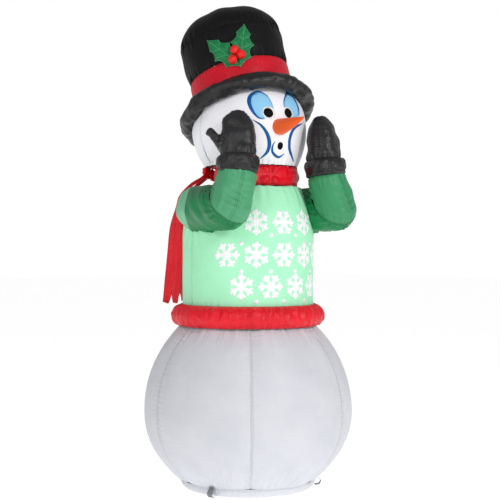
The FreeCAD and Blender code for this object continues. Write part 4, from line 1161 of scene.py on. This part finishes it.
def holly():
    line = leaf_outline()

    def vein(x, y):
        pts = np.stack([x, y], -1)
        return np.min([edge_distance(pts, np.array(v), closed=False) for v in VEINS], 0)

    def relief(x, y, d):
        puff = 0.010 * (1 - np.exp(-d / 0.014))
        crease = 0.0028 * bell(vein(x, y), 0.004) * ramp(d, 0, 0.01)
        return puff - crease + 0.0010 * waves(x, y, 0.03, 121) * ramp(d, 0, 0.01)

    def marks(x, y, d):
        border = 0.7 * ramp(d, 0.0036, 0.0016)
        return np.clip(np.maximum(border, 0.5 * ramp(vein(x, y), 0.0022, 0.0010)), 0, 1)

    for name, az, height, lean, stand in (("holly_leaf_right", -5.0, 0.112, -18.0, 0.006),
                                          ("holly_leaf_left", -3.5, 0.114, 36.0, 0.004)):
        obj = patch(name + "_pad", line, on_crown(az, height, lean, stand), LEAF, height=0.003, sink=0.001,
                    spacing=0.0032, relief=relief, attribute=marks)
        finish_piece(obj, "leaf_nylon", name)
    a = around(48)
    b = np.linspace(0, math.pi, 30)[None, :]
    for n, (az, height) in enumerate(((-6.6, 0.197), (-1.6, 0.168), (-10.6, 0.152))):
        centre = in_frame(HAT, HAT_AXES, HOLLY_AZ + math.radians(az) - math.pi / 2, 0.2835, height)
        r = 0.0225 * (1 + 0.035 * gathers(a, b, 4, 7, 131 + n, 2.0) * np.sin(b) ** 2) * np.ones_like(b)
        flat = r * np.sin(b)
        p = centre + np.stack([flat * np.cos(a), flat * np.sin(a), r * np.cos(b) + 0 * a], -1)
        obj = weld(skin(f"holly_berry_{n + 1}", p, BERRY, 0, True, outward=centre))
        finish_piece(obj, "berry_nylon", *(["holly_berries"] if n == 0 else []))


holly()


# ---- arms -------------------------------------------------------------------------------------
def half_arm(start, corner, other, r_start, r_corner, rows, cap_r=None, columns=120):
    """A sleeve from start to the mitre at the elbow, where it meets the sleeve towards other."""
    a = unit(corner - start)
    b = unit(other - corner)
    length = np.linalg.norm(corner - start)
    bend = math.acos(np.clip(a @ b, -1, 1))
    outer = unit(-(b - (b @ a) * a))
    axis = np.cross(a, outer)
    turn = around(columns)
    w, s = np.cos(turn), np.sin(turn)
    reach = np.where(w > 0, length + r_corner * w * bend / 2,
                     length - r_corner * np.abs(w) * math.tan(bend / 2))
    t = np.linspace(0, 1, rows)[None, :]
    go = reach * t
    straight = np.minimum(go, length)
    angle = np.where(w > 1e-6, (go - straight) / np.maximum(r_corner * w, 1e-6), 0)
    r = r_start + (r_corner - r_start) * straight / length
    off = (w * r)[..., None] * (outer * np.cos(angle)[..., None] + a * np.sin(angle)[..., None])
    p = start + straight[..., None] * a + off + (s * r)[..., None] * axis
    end = reach - go
    if cap_r:
        c = np.radians(np.linspace(-88.5, -8, 22))[None, :]
        back = start + (cap_r * np.sin(c) + 0 * turn)[..., None] * a + (cap_r * np.cos(c))[..., None] * (
            w[..., None] * outer + s[..., None] * axis)
        p = np.concatenate([back, p], 1)
        end = np.concatenate([reach + cap_r * (-c), end], 1)
    return p, end, turn, a


# the puffed sleeves are fuller and hang lower than their stiff stand-ins
SOFT_SHOULDER, SOFT_ELBOW = SHOULDER + [0.009, -0.006, -0.005], ELBOW + [-0.002, -0.002, -0.010]


def sleeve_seam(end, seam_d, turn):
    d = np.minimum(end, seam_d + 0 * end)
    return np.concatenate([d, d[:1]], 0), np.concatenate([end, end[:1]], 0) + np.vstack([turn, [[TAU]]]) * 0.1


def arm(side):
    flip = np.array([1.0 if side == "right" else -1.0, 1, 1])
    p, end, turn, a = half_arm(SOFT_SHOULDER, SOFT_ELBOW, WRIST, 0.116, 0.102, 120, 0.118)
    inner_side = ramp(np.cos(turn), 0.35, -0.7)
    lift = 0.0046 * bell(end, 0.075) * gathers(turn, end, 10, 26, 141, 30.0) * ramp(end, 0.0, 0.02)
    lift = lift + (0.0048 * inner_side * bell(end - 0.05, 0.06)
                   * np.sin(end * TAU / 0.034 + 1.4 * np.sin(2 * turn)))
    lift = lift + 0.0028 * waves(turn * 0.1, end, 0.13, 142) - 0.004 * bell(end, 0.006)
    seam_d = 0.1 * np.abs((turn - 0.15 + math.pi) % TAU - math.pi)
    lift = lift - 0.0035 * bell(seam_d, 0.006)
    lift = lift + 0.0028 * bell(seam_d, 0.05) * gathers(end * 30, turn, 5, 9, 143, 3.0)
    mid = SOFT_SHOULDER + a * 0.15
    p = pushed(p, lift, wrap_u=True, outward=mid)
    # painted light: the back of the shoulder painted lighter, as light showing through the cloth
    painted_light = ramp((p - SOFT_SHOULDER) @ unit(np.array([-0.643, 0.766, 0.0])), 0.032, 0.037)
    obj = skin(f"upper_sleeve_{side}_cloth", p * flip, GREEN, 0.0016, wrap_u=True, outward=mid * flip,
               seam=sleeve_seam(end, seam_d, turn))
    tint(obj, "painted_light", np.tile(painted_light.ravel(), 2))
    weld(obj)
    finish_piece(obj, "green_nylon", f"upper_sleeve_{side}")

    inside_cuff = WRIST + unit(WRIST - SOFT_ELBOW) * 0.034
    p, end, turn, _ = half_arm(inside_cuff, SOFT_ELBOW, SOFT_SHOULDER, 0.0905, 0.102, 100)
    inner_side = ramp(np.cos(turn), 0.35, -0.7)
    lift = 0.0044 * bell(end, 0.07) * gathers(turn, end, 10, 26, 151, 30.0) * ramp(end, 0.0, 0.02)
    lift = lift + (0.0060 * inner_side * bell(end - 0.04, 0.05)
                   * np.sin(end * TAU / 0.032 + 1.2 * np.sin(2 * turn) + 1))
    lift = lift + 0.0022 * waves(turn * 0.09, end, 0.11, 152) - 0.004 * bell(end, 0.006)
    far = end.max(1, keepdims=True) - end
    lift = lift - 0.017 * ramp(far, 0.036, 0.0)
    lift = lift + 0.0030 * bell(far - 0.04, 0.035) * gathers(turn, end, 14, 30, 153, 20.0)
    seam_d = 0.09 * np.abs((turn - 0.15 + math.pi) % TAU - math.pi)
    lift = lift - 0.0030 * bell(seam_d, 0.006)
    lift = lift + 0.0026 * bell(seam_d, 0.045) * gathers(end * 30, turn, 5, 9, 154, 3.0)
    mid = (WRIST + SOFT_ELBOW) / 2
    p = pushed(p, lift, wrap_u=True, outward=mid)
    obj = skin(f"forearm_sleeve_{side}_cloth", p * flip, GREEN, 0.0016, wrap_u=True, outward=mid * flip,
               seam=sleeve_seam(end, seam_d, turn))
    # painted light: the forearms painted lighter than the upper sleeves, the right one more
    tint(obj, "painted_light", np.full(len(obj.data.vertices), 0.38 if side == "right" else 0.20))
    finish_piece(obj, "green_nylon", f"forearm_sleeve_{side}")
    cuff(side, flip)
    mitten(side, flip)


def tint(obj, name, values):
    layer = obj.data.attributes.new(name, "FLOAT", "POINT")
    layer.data.foreach_set("value", np.asarray(values, np.float32))


HAND_TIP = np.array([-0.236, -0.288, 1.834])
HAND = frame_of(HAND_TIP - WRIST)
HAND_TURN = math.radians(-38.8)


def cuff(side, flip):
    profile = smooth_path([(0.079, 0.004), (0.089, 0.001), (0.098, 0.010), (0.1015, 0.028), (0.102, 0.046),
                           (0.0995, 0.066), (0.091, 0.080), (0.077, 0.0835), (0.062, 0.0825)], 60)
    a = around(260)
    r, h = profile[None, :, 0], profile[None, :, 1]
    outer = ramp(r, 0.075, 0.095)
    roll = 0.0042 * gathers(a, h, 7, 15, 161, 30.0) * ramp(h, 0.045, 0.006)
    crush = 0.0022 * waves(a * 0.1, h, 0.05, 162)
    hollow = -0.0030 * bell(h - 0.022, 0.006) * ramp(r, 0.09, 0.1)
    push = (roll + crush) * outer + hollow
    p = in_frame(WRIST, HAND, a, r + push, h + 0.4 * roll * ramp(h, 0.03, 0.0))
    mid = WRIST + HAND[2] * 0.045
    edge = np.abs(h - 0.022) + 0 * a
    obj = skin(f"cuff_{side}_cloth", p * flip, CHARCOAL, 0.0018, wrap_u=True, outward=mid * flip,
               seam=ring_seam(edge, a, 0.1, h))
    return finish_piece(obj, "black_nylon", f"mitten_cuff_{side}")


def mitten(side, flip):
    """One puffed bag with a thumb: two forms joined, remeshed and smoothed, then creased."""
    length = np.linalg.norm(HAND_TIP - WRIST) - 0.085
    middle = 0.385 * length
    a = around(72)
    b = np.linspace(0, math.pi, 49)[None, :]

    def fat(c, power):
        return np.sign(c) * np.abs(c) ** power
    power = 0.74
    x = 0.0825 * fat(np.sin(b), power) * fat(np.cos(a), power)
    y = 0.0790 * fat(np.sin(b), power) * fat(np.sin(a), power)
    up = fat(np.cos(b), power) + 0 * a
    z = middle + np.where(up > 0, (length - middle) * up, 0.150 * up)
    taper = 1 - 0.10 * ramp(z, middle + 0.03, length) + 0.10 * ramp(z, 0.07, 0.0)
    thin = 1.10 - 0.40 * np.clip(z / length, 0, 1)
    hand = np.stack([x * taper, y * thin, z], -1)
    root, tip = np.array([-0.046, 0, 0.014]), np.array([-0.131, 0, 0.114])
    way = unit(tip - root)
    side_way = np.cross(way, Y)
    t = np.linspace(0, 1, 40)[None, :]
    run = np.linalg.norm(tip - root)
    s = -0.02 + (run + 0.038) * t
    body = np.interp(s, [-0.02, 0.04, run], [0.038, 0.0285, 0.0245])
    head = np.sqrt(np.clip(1 - np.clip((s - run) / 0.018, 0, 1) ** 2, 0, 1))
    tail_ = np.sqrt(np.clip(1 - np.clip(-s / 0.02, 0, 1) ** 2, 0, 1))
    r = body * head * tail_
    thumb = root + s[..., None] * way + (r * np.cos(a))[..., None] * side_way + (r * np.sin(a))[..., None] * Y
    parts = [weld(skin("hand_a", hand, CHARCOAL, 0, True, outward=(0, 0, middle))),
             weld(skin("hand_b", thumb, CHARCOAL, 0, True, outward=(root + tip) / 2))]
    obj = parts[0]
    mod = obj.modifiers.new("join", "BOOLEAN")
    mod.operation, mod.object, mod.solver = "UNION", parts[1], "EXACT"
    remesh = obj.modifiers.new("remesh", "REMESH")
    remesh.mode, remesh.voxel_size = "VOXEL", 0.0036
    relax = obj.modifiers.new("relax", "SMOOTH")
    relax.factor, relax.iterations = 0.5, 6
    apply_modifiers(obj)
    bpy.data.objects.remove(parts[1])
    mesh = obj.data
    co = np.empty(len(mesh.vertices) * 3, np.float32)
    mesh.vertices.foreach_get("co", co)
    co = co.reshape(-1, 3).astype(float)
    normal = np.empty(len(mesh.vertices) * 3, np.float32)
    mesh.vertices.foreach_get("normal", normal)
    normal = normal.reshape(-1, 3).astype(float)
    x, y, z = co.T
    turn = np.arctan2(z - middle, x)
    crotch = np.hypot(x + 0.074, z - 0.072)
    lift = -0.0026 * bell(y, 0.0035) + 0.0015 * bell(y, 0.03) * gathers(turn, 0 * x, 24, 50, 171)
    lift = lift + 0.0030 * waves(x, z, 0.10, 172)
    lift = lift + (0.0034 * bell(crotch, 0.045) * np.sin(np.arctan2(z - 0.05, x + 0.04) * 11)
                   * ramp(crotch, 0.004, 0.02))
    lift = lift + 0.0034 * ramp(z, 0.05, 0.0) * gathers(np.arctan2(y, x), z, 12, 26, 173, 20.0)
    co = co + normal * lift[:, None]
    cut = co[:, 2] < -0.004
    co[cut, 2] = -0.004
    c, s_ = math.cos(HAND_TURN), math.sin(HAND_TURN)
    world = (WRIST + HAND[2] * 0.085 + (c * co[:, :1] - s_ * co[:, 1:2]) * HAND[0]
             + (s_ * co[:, :1] + c * co[:, 1:2]) * HAND[1] + co[:, 2:] * HAND[2]) * flip
    mesh.vertices.foreach_set("co", world.astype(np.float32).ravel())
    loops = np.empty(len(mesh.loops), np.int32)
    mesh.loops.foreach_get("vertex_index", loops)
    for layer, values in (("cloth", np.stack([x + 0.3 * y, z], -1)),
                          ("seam", np.stack([np.abs(y), turn * 0.08], -1))):
        uv = mesh.uv_layers.get(layer) or mesh.uv_layers.new(name=layer)
        uv.data.foreach_set("uv", values[loops].astype(np.float32).ravel())
    if flip[0] < 0:
        mesh.flip_normals()
    mesh.update()
    mesh.shade_smooth()
    mesh.materials.clear()
    mesh.materials.append(CHARCOAL)
    obj.name = f"mitten_{side}_cloth"
    return finish_piece(obj, "charcoal_nylon", f"mitten_{side}")


arm("right")
arm("left")


# ---- fan boot, straps and zipper ----------------------------------------------------------------
def boot():
    a = around(240)
    t = np.linspace(0, 1, 30)[None, :]
    r = 0.0862 + 0.0030 * np.sin(math.pi * t) * gathers(a, t, 20, 44, 181, 3.0) + 0.0012 * np.sin(math.pi * t)
    x, z = r * np.cos(a), FAN_Z + r * np.sin(a)
    wall = np.sqrt(np.maximum(0, ball_radius(FAN_Z + 0.086 * np.sin(a)) ** 2 - (0.086 * np.cos(a)) ** 2))
    y = wall + 0.0005 + (0.4888 - wall) * t
    p = np.stack([x + 0 * y, y, z + 0 * y], -1)
    obj = skin("port_boot_cloth", p, WHITE, 0.0014, wrap_u=True, outward=(0, 0.47, FAN_Z))
    return finish_piece(obj, "white_nylon", "port_boot")


boot()


def strap(name, path, width, azimuth, node, slot="webbing"):
    """A webbing strap along a path of (radius, height) points at an azimuth."""
    az = math.radians(azimuth)
    out, side = compass(az)
    line = smooth_path(np.array(path, float) / 1000, 60)
    v = np.linspace(-0.5, 0.5, 15)[None, :]
    p = (line[:, None, :1] * out + line[:, None, 1:] * Z) + (v * width)[..., None] * side
    bow = 0.0006 * np.cos(v * math.pi) + 0 * line[:, :1]
    p = p + bow[..., None] * out
    obj = skin(name, p, WEBBING, 0.0018, outward=p.reshape(-1, 3).mean(0) - out * 0.2)
    return finish_piece(obj, slot, node)


for i, azimuth in enumerate((-62, 62, -160, 160)):
    strap(f"stake_strap_{i + 1}", [(351, 54), (347, 48), (353, 40), (365.5, 24), (356, 6.5), (334, 3.6)],
          0.028, azimuth, f"stake_loop_{i + 1}")
for side, azimuth in (("right", -168), ("left", 168)):
    near, out, z = 328.6, 346, 1180
    strap(f"tether_strap_{side}", [(near, z + 44), (near, z + 28), (out, z), (near, z - 28), (near, z - 44)],
          0.022, azimuth, f"tether_loop_{side}")

LOOKS = {"fan_": HOUSING, "inlet_grille": HOUSING, "blower_foot": HOUSING, "port_ring": HOUSING,
         "impeller": WHEEL, "port_screws": STEEL, "motor_shaft": STEEL, "housing_pins": STEEL,
         "cable_gland": RUBBER, "zipper_coil": ZIP_TEETH, "zipper_stops": ZIP_TEETH,
         "zipper_slider": ZIP_METAL, "zipper_pull": ZIP_METAL, "lamp_sockets": LAMP_BODY,
         "lamp_lenses": LAMP_GLASS, "lamp_tabs": LAMP_BODY}


def zipper():
    """The tape, with its two rows of teeth standing in for the coil."""
    az = np.radians(np.linspace(157, 203, 200))[:, None]
    v = np.linspace(-0.013, 0.013, 15)[None, :]
    z = ZIP_Z + v + 0 * az
    base = polar(az, ball_radius(z), z)
    p = pushed(base, 0.0016 + 0 * z, outward=(0, 0, BALL_MID))
    obj = skin("zipper_tape_cloth", p, ZIP_TAPE, 0.001, outward=(0, 0, BALL_MID))
    finish_piece(obj, "zip_cloth", "zipper_tape")
    verts, faces = [], []
    count = 230
    for i, a in enumerate(np.radians(np.linspace(159.2, 200.8, count))):
        row = 1 if i % 2 else -1
        here = polar(a, ball_radius(ZIP_Z), ZIP_Z)
        n = unit(np.array([here[0], here[1], 0]) / BALL_R ** 2
                 + np.array([0, 0, (ZIP_Z - BALL_MID) / BALL_LOW ** 2]))
        t = np.array([math.cos(a), math.sin(a), 0])
        up = unit(np.cross(t, n))
        if up[2] < 0:
            up = -up
        centre = here + n * 0.0031 + up * (0.0012 * row + 0.0003)
        k = len(verts)
        for dz, dt, dn in [(x, y, w) for x in (-1, 1) for y in (-1, 1) for w in (-1, 1)]:
            reach = 0.0020 if dz * row > 0 else 0.0015
            taper = 0.8 if dn > 0 else 1.0
            verts.append(centre + up * dz * reach * taper + t * dt * 0.00062 * taper + n * dn * 0.0010)
        faces += [(k, k + 1, k + 3, k + 2), (k + 4, k + 6, k + 7, k + 5), (k, k + 4, k + 5, k + 1),
                  (k + 2, k + 3, k + 7, k + 6), (k, k + 2, k + 6, k + 4), (k + 1, k + 5, k + 7, k + 3)]
    obj = new_object("zipper_teeth", np.array(verts), faces, ZIP_TEETH, smooth=False)
    weld(obj, 1e-8)
    obj.data.shade_flat()
    return finish_piece(obj, "zip_plastic", "zipper_coil")


zipper()
for node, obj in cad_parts.items():
    for start, material in LOOKS.items():
        if node.startswith(start):
            obj.data.materials.clear()
            obj.data.materials.append(material)
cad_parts["motor"].data.materials.clear()
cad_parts["motor"].data.materials.append(MOTOR)

# ---- stage --------------------------------------------------------------------------------------
paint, tree, shader = start_material("floor_paint")
grain = tree.nodes.new("ShaderNodeTexNoise")
tree.links.new(mix(tree, Field(tree, grain.outputs[0]), (0.90, 0.90, 0.90), (0.92, 0.92, 0.92)),
               shader.inputs["Base Color"])
shader.inputs["Roughness"].default_value = 0.95
shader.inputs["Emission Color"].default_value = (1, 1, 1, 1)
shader.inputs["Emission Strength"].default_value = 0.60
floor = new_object("floor", [(-30, -30, -0.0005), (30, -30, -0.0005), (30, 40, -0.0005), (-30, 40, -0.0005)],
                   [(0, 1, 2, 3)], paint, smooth=False)

world = bpy.data.worlds.new("studio")
bpy.context.scene.world = world
world.use_nodes = True
tree = world.node_tree
dim = tree.nodes["Background"]
dim.inputs[0].default_value, dim.inputs[1].default_value = (1, 1, 1, 1), 0.42
bright = tree.nodes.new("ShaderNodeBackground")
bright.inputs[0].default_value, bright.inputs[1].default_value = (1, 1, 1, 1), 1.0
path = tree.nodes.new("ShaderNodeLightPath")
choose = tree.nodes.new("ShaderNodeMixShader")
tree.links.new(path.outputs["Is Camera Ray"], choose.inputs[0])
tree.links.new(dim.outputs[0], choose.inputs[1])
tree.links.new(bright.outputs[0], choose.inputs[2])
tree.links.new(choose.outputs[0], tree.nodes["World Output"].inputs[0])


def lamp(name, place, target, size, power):
    data = bpy.data.lights.new(name, "AREA")
    data.shape, data.size, data.energy = "DISK", size, power
    obj = bpy.data.objects.new(name, data)
    bpy.context.scene.collection.objects.link(obj)
    way = unit(np.array(target, float) - np.array(place, float))
    obj.location = place
    obj.rotation_euler = Vector(way).to_track_quat("-Z", "Y").to_euler()


lamp("key", (0.6, -5.6, 3.6), (0, 0, 1.2), 0.9, 124)
lamp("fill", (-3.4, -2.0, 2.7), (0, 0, 1.9), 1.2, 26)

camera = bpy.data.cameras.new("camera")
camera.lens, camera.sensor_width = 86.4, 36.0
camera.shift_x, camera.shift_y = 0.004, -0.0046
view = bpy.data.objects.new("camera", camera)
bpy.context.scene.collection.objects.link(view)
view.location = (-3.180, -5.088, 1.190)
view.rotation_euler = (math.pi / 2, 0, -math.atan2(0.530, 0.848))
bpy.context.scene.camera = view
bpy.context.scene.view_settings.view_transform = "Standard"
